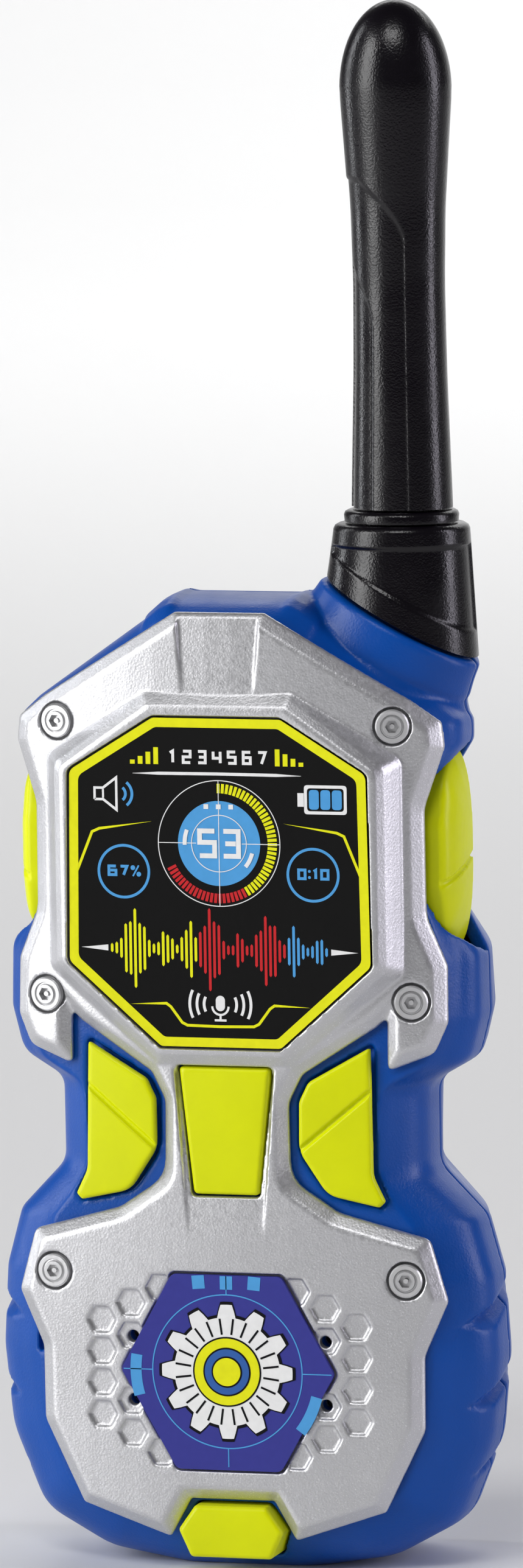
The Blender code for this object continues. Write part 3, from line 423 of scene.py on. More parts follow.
class Nodes:
    """A short way to write a Principled material's nodes."""

    def __init__(self, name):
        self.material = bpy.data.materials.new(name)
        self.material.use_nodes = True
        self.tree = self.material.node_tree
        self.shader = self.tree.nodes["Principled BSDF"]
        self.place = self.add("ShaderNodeTexCoord").outputs["Object"]

    def add(self, kind, **settings):
        node = self.tree.nodes.new(kind)
        for key, value in settings.items():
            setattr(node, key, value)
        return node

    def link(self, output, socket):
        self.tree.links.new(output, socket)

    def filled(self, node, values):
        for socket, value in values.items():
            node.inputs[socket].default_value = value
        return node

    def noise(self, scale, detail=3.0, rough=0.55):
        values = {"Scale": scale, "Detail": detail, "Roughness": rough}
        node = self.filled(self.add("ShaderNodeTexNoise"), values)
        self.link(self.place, node.inputs["Vector"])
        return node.outputs["Fac"]

    def cells(self, scale, smooth=0.6):
        values = {"Scale": scale, "Smoothness": smooth}
        node = self.filled(self.add("ShaderNodeTexVoronoi", feature="SMOOTH_F1"), values)
        self.link(self.place, node.inputs["Vector"])
        return node.outputs["Distance"]

    def spread(self, value, low, high, to_low=0.0, to_high=1.0):
        values = {"From Min": low, "From Max": high, "To Min": to_low, "To Max": to_high}
        node = self.filled(self.add("ShaderNodeMapRange"), values)
        self.link(value, node.inputs["Value"])
        return node.outputs["Result"]

    def sums(self, a, b, share):
        node = self.add("ShaderNodeMath", operation="MULTIPLY_ADD")
        self.link(b, node.inputs[0])
        node.inputs[1].default_value = share
        self.link(a, node.inputs[2])
        return node.outputs[0]

    def mix(self, factor, first, second):
        node = self.add("ShaderNodeMix", data_type="RGBA")
        self.link(factor, node.inputs[0])
        for socket, colour in ((node.inputs[6], first), (node.inputs[7], second)):
            if isinstance(colour, tuple):
                socket.default_value = (*colour, 1)
            else:
                self.link(colour, socket)
        return node.outputs[2]

    def edges(self):
        return self.spread(self.add("ShaderNodeNewGeometry").outputs["Pointiness"], 0.505, 0.56)

    def bump(self, height, distance, strength=1.0):
        node = self.filled(self.add("ShaderNodeBump"), {"Distance": distance, "Strength": strength})
        self.link(height, node.inputs["Height"])
        self.link(node.outputs["Normal"], self.shader.inputs["Normal"])

    def colour(self, output):
        self.link(output, self.shader.inputs["Base Color"])

    def roughness(self, output):
        self.link(output, self.shader.inputs["Roughness"])

    def number(self, socket, value):
        self.shader.inputs[socket].default_value = value


def scaled(colour, by):
    """A colour, lighter or darker."""
    return tuple(min(1.0, part * by) for part in colour)


def plastic(name, colour, rough, grain=900.0, depth=0.00003, tone=0.08, wear=0.12, metal=0.0, gloss=0.5):
    """Moulded plastic: fine grain, uneven tone and gloss, and rubbed edges."""
    n = Nodes(name)
    tint = n.spread(n.noise(55.0, 4.0), 0.35, 0.65)
    base = n.mix(tint, scaled(colour, 1 - tone), scaled(colour, 1 + tone))
    rubbed = n.mix(n.spread(n.edges(), 0.0, 1.0, 0.0, wear), base, scaled(colour, 1.6))
    n.colour(rubbed)
    n.roughness(n.spread(n.noise(160.0, 5.0), 0.3, 0.7, rough - 0.05, rough + 0.07))
    n.bump(n.sums(n.noise(grain, 2.0), n.cells(grain * 1.3), 0.6), depth)
    n.number("Metallic", metal)
    n.number("Specular IOR Level", gloss)
    return n.material


def silver_plastic():
    """Silver-pigmented plastic with a leather grain and bright metal flakes."""
    n = Nodes("silver_grain")
    colour = (0.64, 0.64, 0.66)
    cloud = n.spread(n.noise(40.0, 4.0), 0.35, 0.65)
    base = n.mix(cloud, scaled(colour, 0.94), scaled(colour, 1.05))
    flake = n.spread(n.noise(5200.0, 1.0), 0.6, 0.72, 0.0, 0.55)
    n.colour(n.mix(flake, base, (0.95, 0.95, 0.97)))
    n.roughness(n.spread(n.noise(1500.0, 3.0), 0.3, 0.7, 0.34, 0.46))
    n.bump(n.sums(n.cells(2900.0, 0.5), n.noise(4200.0, 2.0), 0.5), 0.00003, 0.7)
    n.number("Metallic", 0.82)
    return n.material


def print_ink(name, colour, rough=0.4):
    """Screen-printed ink on a plastic film."""
    n = Nodes(name)
    speck = n.spread(n.noise(700.0, 3.0), 0.3, 0.7)
    n.colour(n.mix(speck, scaled(colour, 0.96), scaled(colour, 1.03)))
    n.roughness(n.spread(n.noise(300.0, 4.0), 0.3, 0.7, rough - 0.05, rough + 0.06))
    n.bump(n.noise(1400.0, 2.0), 0.000006)
    n.number("Specular IOR Level", 0.15)
    return n.material


def metal(name, colour, rough):
    """Plain machined or drawn metal with fine scratches."""
    n = Nodes(name)
    stain = n.spread(n.noise(220.0, 5.0), 0.35, 0.7)
    n.colour(n.mix(stain, scaled(colour, 0.86), scaled(colour, 1.06)))
    n.roughness(n.spread(n.noise(600.0, 5.0), 0.3, 0.7, rough - 0.08, rough + 0.12))
    n.bump(n.noise(2400.0, 4.0), 0.00001)
    n.number("Metallic", 1.0)
    return n.material


def make_materials():
    """Every material, by a short name."""
    return {
        "blue": plastic("blue_grain", (0.0, 0.07, 0.38), 0.34, 2400.0, 0.000025, 0.06, 0.08, gloss=0.32),
        "silver": silver_plastic(),
        "bolt": plastic("bolt_silver", (0.62, 0.62, 0.63), 0.34, 1500.0, 0.00002, 0.08, 0.3, metal=0.7),
        "lime": plastic("lime_key", (0.74, 0.8, 0.0), 0.34, 700.0, 0.000012, 0.05, 0.06, gloss=0.25),
        "black": plastic("antenna_grain", (0.003, 0.002, 0.004), 0.22, 2600.0, 0.00003, 0.15, 0.05, 0, 0.4),
        "screen": print_ink("screen_black", (0.002, 0.002, 0.002), 0.55),
        "yellow": print_ink("ink_yellow", (0.86, 0.86, 0.012)),
        "white": print_ink("ink_white", (0.9, 0.9, 0.9)),
        "red": print_ink("ink_red", (0.62, 0.025, 0.03)),
        "sky": print_ink("ink_sky", (0.09, 0.37, 0.76)),
        "ring": print_ink("ink_ring", (0.04, 0.13, 0.42)),
        "indigo": print_ink("ink_indigo", (0.047, 0.05, 0.3)),
        "ink_black": print_ink("ink_black", (0.004, 0.004, 0.006)),
        "steel": metal("steel_plain", (0.56, 0.56, 0.58), 0.34),
        "copper": metal("copper_wire", (0.7, 0.3, 0.12), 0.3),
        "battery": plastic("battery_jacket", (0.55, 0.36, 0.05), 0.3, 400.0, 0.000008, 0.1, 0.3, metal=0.6),
        "board": plastic("board_mask", (0.01, 0.16, 0.05), 0.4, 300.0, 0.00001, 0.2, 0.0),
        "dull": plastic("dull_black", (0.02, 0.02, 0.022), 0.5, 900.0, 0.00002, 0.2, 0.05),
        "paper": plastic("cone_paper", (0.06, 0.055, 0.05), 0.85, 1200.0, 0.00005, 0.3, 0.0),
    }


# --- Shared pieces of shape ---


def bolt_axis(x, z):
    """The way a bolt points out of the crowned front."""
    lean = math.atan(2 * crown(x, z) / x)
    return Vector((math.sin(lean), -math.cos(lean), 0.0))


def bolt_place(x, z):
    """The middle of a bolt's head on the silver surface."""
    return Vector((x, FACE + crown(x, z), z))


def bolt_spots():
    """Every bolt's node name, place and axis."""
    for row, (x, z) in FASCIA_BOLTS.items():
        for side, word in SIDES:
            yield f"{word}_{row}_bolt", bolt_place(side * x, z), bolt_axis(side * x, z)


def bolt_bars(radius, above, below):
    """Round bars along all six bolts."""
    return [cylinder(at + axis * above, at - axis * below, radius) for _, at, axis in bolt_spots()]


def seat_ring(drop, radius, depth_radius, count=64):
    """An ellipse parallel to the antenna's slanted seat, a drop below it."""
    along = Vector((math.cos(SEAT_TILT), 0, -math.sin(SEAT_TILT)))
    middle = SEAT + SEAT_DOWN * drop
    across = Vector((0, depth_radius, 0))
    return [middle + along * radius * math.cos(t) + across * math.sin(t) for t in around(count)]


def collar_half(front):
    """One half of the slanted collar under the antenna, split at the parting plane."""
    rings = (
        (GAP, 12.8, 9.5), (GAP + 0.5, 13.4, 10.1), (3.2, 13.7, 10.4), (5.6, 14.2, 10.7), (6.2, 14.0, 10.6),
        (6.7, 14.4, 10.9), (8.4, 15.8, 11.5), (11.0, 15.8, 11.5),
    )
    bm = loft([seat_ring(*ring) for ring in rings])
    side = PARTING - GAP / 2 if front else PARTING + GAP / 2
    plane = {"plane_co": (0, side, 0), "plane_no": (0, 1 if front else -1, 0)}
    everything = bm.verts[:] + bm.edges[:] + bm.faces[:]
    result = bmesh.ops.bisect_plane(bm, geom=everything, clear_outer=True, **plane)
    edges = [item for item in result["geom_cut"] if isinstance(item, bmesh.types.BMEdge)]
    bmesh.ops.edgeloop_fill(bm, edges=edges)
    return bm


def antenna_socket():
    """The bore for the antenna's spigot."""
    return cylinder(SEAT - SEAT_DOWN * 3, SEAT + SEAT_DOWN * (6.0 + GAP), SPIGOT_RADIUS + GAP, 40)


def grip_cutters():
    """Slanted grooves, three down each side of the lower grip."""
    cutters = []
    for depth_x, z in GRIP_GROOVES:
        for sx in (1, -1):
            rings = []
            for y in (6.0, 8.0, 10.0, 13.0, 16.0, 19.0, 22.0, 25.0, 28.0, 32.0):
                rise = (y - PARTING) * 0.36
                bottom = depth_x - 1.5 - case_inset(y) * softness(z + rise, y)
                section = ((bottom, 0.0), (bottom + 5.0, 2.2), (bottom + 5.0, -5.4))
                rings.append([(sx * x, y, z + rise + dz) for x, dz in section])
            cutters.append(loft(rings))
    return cutters


def side_ring(x, scale=1.0, outset=0.0):
    """The side key's outline at one distance out, shrunk towards its back edge's middle."""
    back, middle = SIDE_KEY[0][0], SIDE_KEY_Z
    outline = filleted(offset(SIDE_KEY, -outset))
    return [(x, back + (y - back) * scale, middle + (z - middle) * scale) for y, z in outline]


def side_bulge(side, edge, bulge):
    """A side key's body: straight out to its edge, then rounded over."""
    rings = [side_ring(side * x) for x in (26.9, edge)]
    for k in range(1, 12):
        turn = math.radians(90 * k / 12)
        rings.append(side_ring(side * (edge + bulge * math.sin(turn)), math.cos(turn) ** 0.8))
    return loft(rings)


def sound_holes():
    """Holes in front of the loudspeaker, and a port behind the badge."""
    holes = [cylinder((x, -2.0, z), (x, 9.0, z), 0.9, 24) for x, z in SOUND_HOLES]
    return [cylinder((0.0, -2.0, BADGE_Z), (0.0, 9.0, BADGE_Z), 6.0, 32)] + holes


# --- Casing ---


def shell_rings(front):
    """The rings of one half of the case, outside then inside."""
    outline = closed(SHELL_HALF, 5)
    inwards, face = (1, SHELL_FRONT) if front else (-1, SHELL_BACK)
    edge = PARTING - inwards * GAP / 2
    outer, inner = [], []
    steps = 12
    for k in range(steps + 1):
        depth = face + (edge - face) * (k / steps) ** 1.5
        inset = case_inset(depth)
        outer.append(drawn_in(outline, depth, inset))
        if k % 3 == 0 and k < steps:
            floor = (depth + inwards * CASE_FLOOR, edge - inwards)
            inside = min(floor) if front else max(floor)
            inner.append(drawn_in(outline, inside, inset, WALL))
    inner.append(drawn_in(outline, edge, 0.0, WALL))
    return outer + inner[::-1]


def make_front_case():
    """The front half of the case, with windows for every key."""
    body = crowned(sliced(loft(shell_rings(front=True)), CROWN_X, CROWN_Z), fade_from=SHELL_FRONT + 2.2)
    shell = raw("front_case", body)
    join(shell, collar_half(front=True))
    depths = (4.4, 6.0, 8.0, 10.5, 13.5, PARTING - 0.2)
    join(shell, *[brow_ridge(side, depths) for side in (1, -1)])
    cut(shell, antenna_socket())
    cut(shell, *bolt_bars(1.3, 1.0, 8.0))
    cut(shell, *grip_cutters())
    windows = [window(TALK_HALF, 0.0, 9.0), window(FOOT_HALF, -1.0, 13.0)]
    for sx in (1, -1):
        windows.append(levelled(GRIP_KEY_NECK, ((0.0, -GAP), (10.0, -GAP)), sx))
        windows.append(loft([side_ring(sx * x, outset=GAP) for x in (25.0, 40.0)]))
    cut(shell, *windows)
    recesses = []
    for sx in (1, -1):
        recess = levelled(GRIP_KEY, ((0.0, -GAP), (4.9, -GAP)), sx)
        sliced(recess, [sx * x for x in (13, 15, 17, 19, 21, 23)], (58, 62, 66, 70, 74))
        recesses.append(crowned(recess, fade_from=SHELL_FRONT + 2.2))
    cut(shell, *recesses)
    backs = [box((32.5 * sx - 7.5, 17.0, 92.2), (32.5 * sx + 7.5, 20.0, 122.9)) for sx in (1, -1)]
    cut(shell, *backs)
    cut(shell, *sound_holes())
    cut(shell, box((-30.6, 0.0, 32.0), (-29.6, 7.2, 35.4)))
    cut(shell, box((-30.0, 0.0, -5.0), (30.0, 20.0, 0.0)))
    moulded(shell, 0.4, 3, 0.3)
    finish(shell, "blue", "case", "shell_blue", "front_shell")


def brow_ridge(side, depths):
    """A low rounded ridge that runs back over the top of the head, beside the brow."""
    section = (
        (7.2, 144.3, 0.5), (12.2, 140.6, 0.5), (14.2, 141.9, 1.0), (11.4, 144.3, 1.8), (9.2, 145.5, 1.8),
    )
    rings = []
    for depth in depths:
        sunk = 1.1 * max(0.0, 1 - (depth - depths[0]) / 4.0) if depth < PARTING else 0.0
        ring = drawn_in(filleted(section, 4), depth, case_inset(depth))
        rings.append([(side * x, y, z - sunk) for x, y, z in ring])
    return loft(rings)


def make_rear_case():
    """The rear half of the case, with the battery well and the clip's two ears."""
    shell = raw("rear_case", loft(shell_rings(front=False)))
    half, floor, low, high = 14.0, 17.4, 12.5, 64.5
    join(shell, box((-half - 1.2, floor - 1.2, low - 1.2), (half + 1.2, 36.0, high + 1.2)))
    join(shell, box((-17.6, 33.4, 64.9), (17.6, 36.0, 73.8)))
    join(shell, collar_half(front=False))
    depths = (PARTING + 0.2, 23.0, 27.0, 31.0, 34.0, 36.0)
    join(shell, *[brow_ridge(side, depths) for side in (1, -1)])
    join(shell, *[cylinder((x, 36.0, z), (x, PARTING + GAP, z), 3.9, 24) for x, z in CASE_SCREWS])
    cut(shell, *[cylinder((x, SCREW_LEDGE, z), (x, 40.0, z), 2.7) for x, z in CASE_SCREWS])
    cut(shell, box((-half, floor, low), (half, 38.0, high)))
    cut(shell, box((-16.6, 35.3, 11.2), (16.6, 38.0, 72.3)))
    cut(shell, cylinder((0, 26.0, 69.0), (0, 37.0, 69.0), 1.8, 24))
    cut(shell, antenna_socket())
    cut(shell, *grip_cutters())
    axis_y, axis_z = CLIP_AXIS
    profile = ((36.0, -6.0), (axis_y + 0.6, -3.0), (axis_y + 2.8, 0.0), (axis_y + 0.6, 3.0), (36.0, 6.0))
    ears = [loft([[(x, y, axis_z + dz) for y, dz in profile] for x in (s * 9.3, s * 12.0)]) for s in (1, -1)]
    join(shell, *ears)
    cut(shell, cylinder((-20, axis_y, axis_z), (20, axis_y, axis_z), 1.5, 24))
    cut(shell, box((-30.0, 18.0, -5.0), (30.0, 38.0, 0.0)))
    moulded(shell, 0.4, 3, 0.3)
    finish(shell, "blue", "case", "shell_blue", "rear_shell")


def hexagon(x, z, across):
    """A six-sided outline with level top and bottom."""
    return circle(x, z, across / math.sqrt(3), 6)


def make_fascia_skin():
    """The silver front plate, with its honeycomb, chamfers and raised screen frame."""
    levels = ((FACE, 2.2), (FACE + 0.15, 1.7), (FACE + 1.3, 0.25), (FACE + 1.6, 0.0), (FACE + 2.2, 0.0))
    fascia = raw("fascia_skin", levelled(mirrored(FASCIA_HALF), levels, steps=4))
    trough = [
        [(-8.3, -1.0, 76.8), (8.3, -1.0, 76.8), (7.5, 2.7, 76.8), (-7.5, 2.7, 76.8)],
        [(-6.0, -1.0, 49.3), (6.0, -1.0, 49.3), (5.7, FACE - 0.1, 49.3), (-5.7, FACE - 0.1, 49.3)],
    ]
    cut(fascia, loft(trough))
    dip = [
        [(-7.0, -1.0, 145.0), (7.0, -1.0, 145.0), (6.4, FACE + 1.1, 145.0), (-6.4, FACE + 1.1, 145.0)],
        [(-5.6, -1.0, 129.5), (5.6, -1.0, 129.5), (5.4, FACE - 0.1, 129.5), (-5.4, FACE - 0.1, 129.5)],
    ]
    cut(fascia, loft(dip))
    pockets = []
    levels = ((-1.0, CELL_WIDE), (FACE, CELL_WIDE), (FACE + 0.5, CELL_NARROW))
    for x, z in [(side * x, z) for x, heights in HONEYCOMB.items() for z in heights for side in (1, -1)]:
        cells = [(y, hexagon(x, z, across)) for y, across in levels]
        pockets.append(loft([[(px, y, pz) for px, pz in cell] for y, cell in cells]))
    cut(fascia, *pockets)
    crowned_object(fascia, CROWN_X, CROWN_Z, fade_from=FACE + 2.2)
    levels = ((0.0, 1.75), (0.14, 1.2), (0.9, 0.1), (2.0, -1.5), (2.9, -2.4))
    raised = sliced(levelled(mirrored(BEZEL_HALF), levels), CROWN_X, CROWN_Z)
    join(fascia, crowned(raised, fade_from=2.9, fade_to=0.6))
    for half, back in ((SCREEN_HALF, 1.7), (BADGE_HALF, 2.1), (TALK_HALF, 6.0)):
        cut(fascia, window(half, -1.0, back))
    cut(fascia, *bolt_bars(2.9, 1.5, 1.2))
    cut(fascia, *bolt_bars(1.3, 2.0, 6.0))
    cut(fascia, *sound_holes())
    moulded(fascia, 0.22, 3, 0.22)
    finish(fascia, "silver", "case", "fascia_silver", "fascia")


def make_bolts():
    """Domed bolts with a hexagon socket."""
    for node, at, axis in bolt_spots():
        turn = axis.to_track_quat("Z", "X").to_matrix().to_4x4()
        profile = (
            (-0.9, 2.5), (-0.1, 2.5), (0.12, 2.3), (0.12, 1.8), (-0.14, 1.7), (-0.1, 1.52), (0.24, 1.4),
            (0.24, 1.1),
        )
        rings = [[(px, py, height) for px, py in circle(0, 0, r)] for height, r in profile]
        bolt = raw(node + "_skin", loft(rings))
        join(bolt, cylinder((0, 0, -0.5), (0, 0, -5.6), 1.0, 24))
        cut(bolt, cylinder((0, 0, 1.0), (0, 0, -0.7), 1.02, 6))
        join(bolt, cylinder((0, 0, -0.8), (0, 0, -0.15), 0.36, 16))
        bolt.data.transform(Matrix.Translation(at) @ turn)
        finish(bolt, "bolt", "case", "fascia_silver", node, sharp=28)


# --- Keys ---


def rounded_levels(top, radius, steps=5):
    """Depths and insets that round over the edge of a key's face."""
    turns = [math.radians(90 * k / steps) for k in range(steps, -1, -1)]
    return [(top + radius * (1 - math.sin(t)), radius * (1 - math.cos(t))) for t in turns]


def make_keys():
    """Every lime key."""
    corners = mirrored(TALK_HALF)
    talk = raw("talk_button_skin", levelled(corners, rounded_levels(1.7, 0.7) + [(6.5, 0.0)]))
    join(talk, prism(filleted(offset(corners, -1.3)), 6.4, 7.6))
    join(talk, cylinder((0, 7.2, 66.5), (0, 8.7, 66.5), 1.8, 24))
    finish(talk, "lime", "talk_button", "key_lime", "talk_button", sharp=35)
    levels = rounded_levels(1.0, 0.8) + [(11.6, 0.0)]
    foot = raw("foot_key_skin", levelled(mirrored(FOOT_HALF), levels))
    join(foot, box((-9.6, 11.0, 5.4), (9.6, 12.2, 8.0)))
    finish(foot, "lime", "foot_key", "key_lime", "foot_key", sharp=35)
    for side, word in SIDES:
        make_grip_key(f"{word}_grip_key", side)
        make_side_key(f"{word}_side_key", side)


def make_grip_key(name, side):
    """A key beside the talk button, with a slanted groove across its face."""
    levels = rounded_levels(2.3, 0.7) + [(SHELL_FRONT - GAP, 0.0)]
    key = raw(name + "_skin", levelled(GRIP_KEY, levels, side, 5))
    slope = math.atan2(72.2 - 64.6, 21.0 - 11.9)
    section = ((-0.9, -1.5), (0.2, -1.5), (0.2, 0.0), (-0.15, 0.62), (-0.45, 0.62), (-0.9, 0.0))
    groove = loft([[(x, 2.3 + dy, dz) for dz, dy in section] for x in (-9.0, 9.0)])
    bmesh.ops.rotate(groove, verts=groove.verts, matrix=Matrix.Rotation(-slope, 3, "Y"))
    bmesh.ops.translate(groove, verts=groove.verts, vec=(16.45, 0.0, 68.7))
    if side < 0:
        bmesh.ops.scale(groove, verts=groove.verts, vec=(-1, 1, 1))
    cut(key, groove)
    crowned_object(key, [side * x for x in range(11, 24)], range(56, 79, 2), triangles=True)
    neck = levelled(GRIP_KEY_NECK, ((3.1, 0.0), (7.5, 0.0), (7.5, -1.0), (8.3, -1.0)), side)
    sliced(neck, [side * x for x in range(14, 19)], range(63, 73, 3))
    join(key, crowned(neck, fade_from=3.3, fade_to=5.0))
    join(key, cylinder((side * 16.5, 8.0, 67.0), (side * 16.5, 8.7, 67.0), 1.8, 24))
    moulded(key, 0.16, 2, 0.4)
    finish(key, "lime", name, "key_lime", name)


def make_side_key(name, side):
    """A bulging crescent key in the side of the head."""
    key = raw(name + "_skin", side_bulge(side, SIDE_KEY_EDGE, SIDE_KEY_BULGE))
    slab = raw("slab", box((-4.0, -9.0, -0.45), (4.0, 9.0, 0.45)))
    slant = Matrix.Rotation(math.radians(20), 4, "X")
    slab.data.transform(Matrix.Translation((side * 35.4, 13.5, 104.8)) @ slant)
    cut(slab, side_bulge(side, SIDE_KEY_EDGE - 0.5, SIDE_KEY_BULGE - 0.05))
    groove = bmesh.new()
    groove.from_mesh(slab.data)
    bpy.data.objects.remove(slab, do_unlink=True)
    cut(key, groove)
    join(key, box((27.7 * side - 0.6, 14.4, 91.2), (27.7 * side + 0.6, 18.1, 123.9)))
    moulded(key, 0.2, 2, 0.4)
    finish(key, "lime", name, "key_lime", name)


# --- Antenna ---


def antenna_ring_at(z, radius, count, slant=0.0):
    """A level or slanted ellipse round the antenna's axis."""
    flat = [(x, y * ANTENNA_FLATTEN) for x, y in circle(0, 0, radius, count)]
    return [(ANTENNA_X + x, ANTENNA_Y + y, z - slant * x) for x, y in flat]


def towards_axis(x, y, z, radius, sink):
    """A point of a ring of this radius, moved in towards the antenna's axis."""
    scale = (radius - sink) / radius
    return (ANTENNA_X + (x - ANTENNA_X) * scale, ANTENNA_Y + (y - ANTENNA_Y) * scale, z)


def signed_turns(count):
    """Even turns once round in radians, each from minus pi to pi."""
    return [(t + math.pi) % math.tau - math.pi for t in around(count)]


def mast_radius(z):
    """The mast's half width at a height, smoothed between the stations."""
    zs, radii = zip(*ANTENNA_PROFILE)
    spread = [z + d for d in (-2.0, -1.0, 0.0, 1.0, 2.0)] if z < 221 else [z]
    return float(np.mean(np.interp(spread, zs, radii)))


def ease(value):
    """Nought to one with soft ends."""
    t = min(1.0, max(0.0, value))
    return t * t * (3 - 2 * t)


def mast_recess(angle, z):
    """How deep the mast's long panels lie under its skin at a place."""
    depth = 0.0
    panels = ((-67.0, 196.0, 10.5, 62.0, 0.3), (-111.0, 184.0, 9.5, 45.0, 0.26))
    for edge, straight, rise, reach, step in panels:
        across = edge - math.degrees(angle)
        if across < 0 or across > 120:
            continue
        top = straight + rise * min(1.0, across / reach) ** 0.5
        far = ease((118.0 - across) / 6.0)
        depth += step * ease(across / 3.4) * ease((top - z) / 0.5) * far
    return depth


def make_antenna():
    """The base, the ring and the mast with its long stepped panel."""
    count = 200
    turns = signed_turns(count)
    slant = math.tan(SEAT_TILT)
    width = SEAT_RADIUS * math.cos(SEAT_TILT)
    rings = [antenna_ring_at(SEAT_Z, width - 0.5, count, slant)]
    rows = 60
    for k in range(rows + 1):
        t = k / rows
        radius = width + (10.2 - width) * t
        ring = []
        for angle, (x, y, z) in zip(turns, antenna_ring_at(SEAT_Z + 0.35, radius, count, slant)):
            up = z + (BASE_TOP - 0.8 - z) * t
            flank = min(angle - math.radians(-158), math.radians(8) - angle) * radius
            top = BASE_TOP - 2.9
            sink = 0.35 * ease(flank / 0.6) * ease((up - z - 3.6) / 0.7) * ease((top - up) / 0.5)
            ring.append(towards_axis(x, y, up, radius, sink))
        rings.append(ring)
    rings += [antenna_ring_at(BASE_TOP - 0.3, 9.95, count), antenna_ring_at(BASE_TOP, 9.4, count)]
    base = raw("antenna_base_skin", loft(rings))
    join(base, cylinder(SEAT - SEAT_DOWN * 2, SEAT + SEAT_DOWN * 5.7, SPIGOT_RADIUS, 32))
    finish(base, "black", "case", "antenna_black", "antenna_base", sharp=40)
    profile = ((GAP, 8.5), (1.3, 8.6), (1.75, 8.4), (2.0, 7.9))
    rings = [antenna_ring_at(BASE_TOP + up, radius, 96) for up, radius in profile]
    ring = raw("antenna_ring_skin", loft(rings))
    finish(ring, "black", "case", "antenna_black", "antenna_ring", sharp=40)
    rings = []
    bottom, top = ANTENNA_PROFILE[0][0], ANTENNA_PROFILE[-1][0]
    heights = list(np.linspace(bottom, TIP_FROM, 190))
    heights += [TIP_FROM + (top - TIP_FROM) * math.sin(math.radians(90 * k / 24)) for k in range(1, 25)]
    for z in heights:
        radius = mast_radius(z)
        if z > TIP_FROM:
            radius = TIP_RADIUS * math.sqrt(max(0.004, 1 - ((z - TIP_FROM) / (top - TIP_FROM)) ** 2.1))
        circled = zip(turns, antenna_ring_at(z, radius, count))
        rings.append([towards_axis(*point, radius, mast_recess(angle, z)) for angle, point in circled])
    mast = raw("antenna_mast_skin", loft(rings))
    finish(mast, "black", "case", "antenna_black", "antenna_mast", sharp=38)


# --- Printed plates ---


def inked(name, shapes, ink, front, slot="screen_black"):
    """Thin printed shapes, given as outlines in X and Z, lying on a plate."""
    bodies = [prism(outline, front - INK_THICK, front) for outline in shapes]
    finish(raw(name, together(*bodies)), ink, "case", slot, sharp=30)


def banded(name, pairs, ink, front, slot="screen_black", thick=INK_THICK):
    """Thin printed rings, each between two outlines of equal length."""
    bodies = []
    top = front - thick
    for outer, inner in pairs:
        section = ((outer, front), (outer, top), (inner, top), (inner, front), (outer, front))
        bm = loft([[(x, y, z) for x, z in ring] for ring, y in section], caps=False)
        bmesh.ops.remove_doubles(bm, verts=bm.verts, dist=1e-5)
        bodies.append(bm)
    finish(raw(name, together(*bodies)), ink, "case", slot, sharp=30)


def stroke(points, width, taper=False):
    """The outline of a line through points, as wide as asked, or tapered to nothing at its end."""
    pts = [Vector(p) for p in points]
    left, right = [], []
    for i, p in enumerate(pts):
        ahead = (pts[min(i + 1, len(pts) - 1)] - pts[max(i - 1, 0)]).normalized()
        across = Vector((-ahead.y, ahead.x)) * width / 2
        if taper and i == len(pts) - 1:
            across *= 0.08
        left.append((p + across)[:])
        right.append((p - across)[:])
    return right + left[::-1]


def arc(x, z, radius, start, end, count=24):
    """Points along an arc, in degrees anticlockwise from +X."""
    turns = [math.radians(start + (end - start) * k / count) for k in range(count + 1)]
    return [(x + radius * math.cos(t), z + radius * math.sin(t)) for t in turns]


# Each digit's strokes: the corners of a line on a grid one wide and two high.
DIGITS = {
    "0": (((0.5, 0), (1, 0), (1, 2), (0, 2), (0, 0), (0.5, 0)),),
    "1": (((0.25, 1.7), (0.65, 2), (0.65, 0)),),
    "2": (((0, 2), (1, 2), (1, 1), (0, 1), (0, 0), (1, 0)),),
    "3": (((0, 2), (1, 2), (1, 0), (0, 0)), ((0.12, 1), (0.82, 1))),
    "4": (((0, 2), (0, 0.85), (0.82, 0.85)), ((1, 2), (1, 0))),
    "5": (((1, 2), (0, 2), (0, 1.08), (1, 1.08), (1, 0), (0, 0)),),
    "6": (((1, 2), (0, 2), (0, 0), (1, 0), (1, 1.05), (0.18, 1.05)),),
    "7": (((0, 2), (1, 2), (0.45, 0)),),
}


def trace(points, width):
    """The outline of a line with mitred corners; a line that ends where it starts leaves a seam."""
    pts = [Vector(p) for p in points]
    sides = ([], [])
    for i, p in enumerate(pts):
        before = (p - pts[i - 1]).normalized() if i else (pts[1] - p).normalized()
        after = (pts[i + 1] - p).normalized() if i + 1 < len(pts) else before
        normal = Vector((-before.y, before.x)) + Vector((-after.y, after.x))
        reach = normal * (width / normal.length_squared)
        sides[0].append((p - reach)[:])
        sides[1].append((p + reach)[:])
    return sides[0] + sides[1][::-1]


def digit(figure, x, z, width, height, line):
    """The strokes of one squared digit whose lower left corner is at a place."""
    w, h, half = width - line, (height - line) / 2, line / 2
    paths = [[(x + half + px * w, z + half + pz * h) for px, pz in path] for path in DIGITS[figure]]
    return [trace(path, line) for path in paths]


def make_screen():
    """The screen's plate, border and printed dials."""
    face = 0.5
    plate = raw("screen_plate", prism(closed(SCREEN_HALF), face, 1.4))
    finish(plate, "screen", "case", "screen_black", "display_panel", sharp=30)
    outer, inner = offset(mirrored(SCREEN_HALF), 0.03), offset(mirrored(SCREEN_HALF), 1.4)
    banded("screen_border", [(filleted(outer), filleted(inner))], "yellow", face, thick=0.08)
    print_frames(face)
    print_wave(face)
    print_dial(face)
    print_gauges(face)


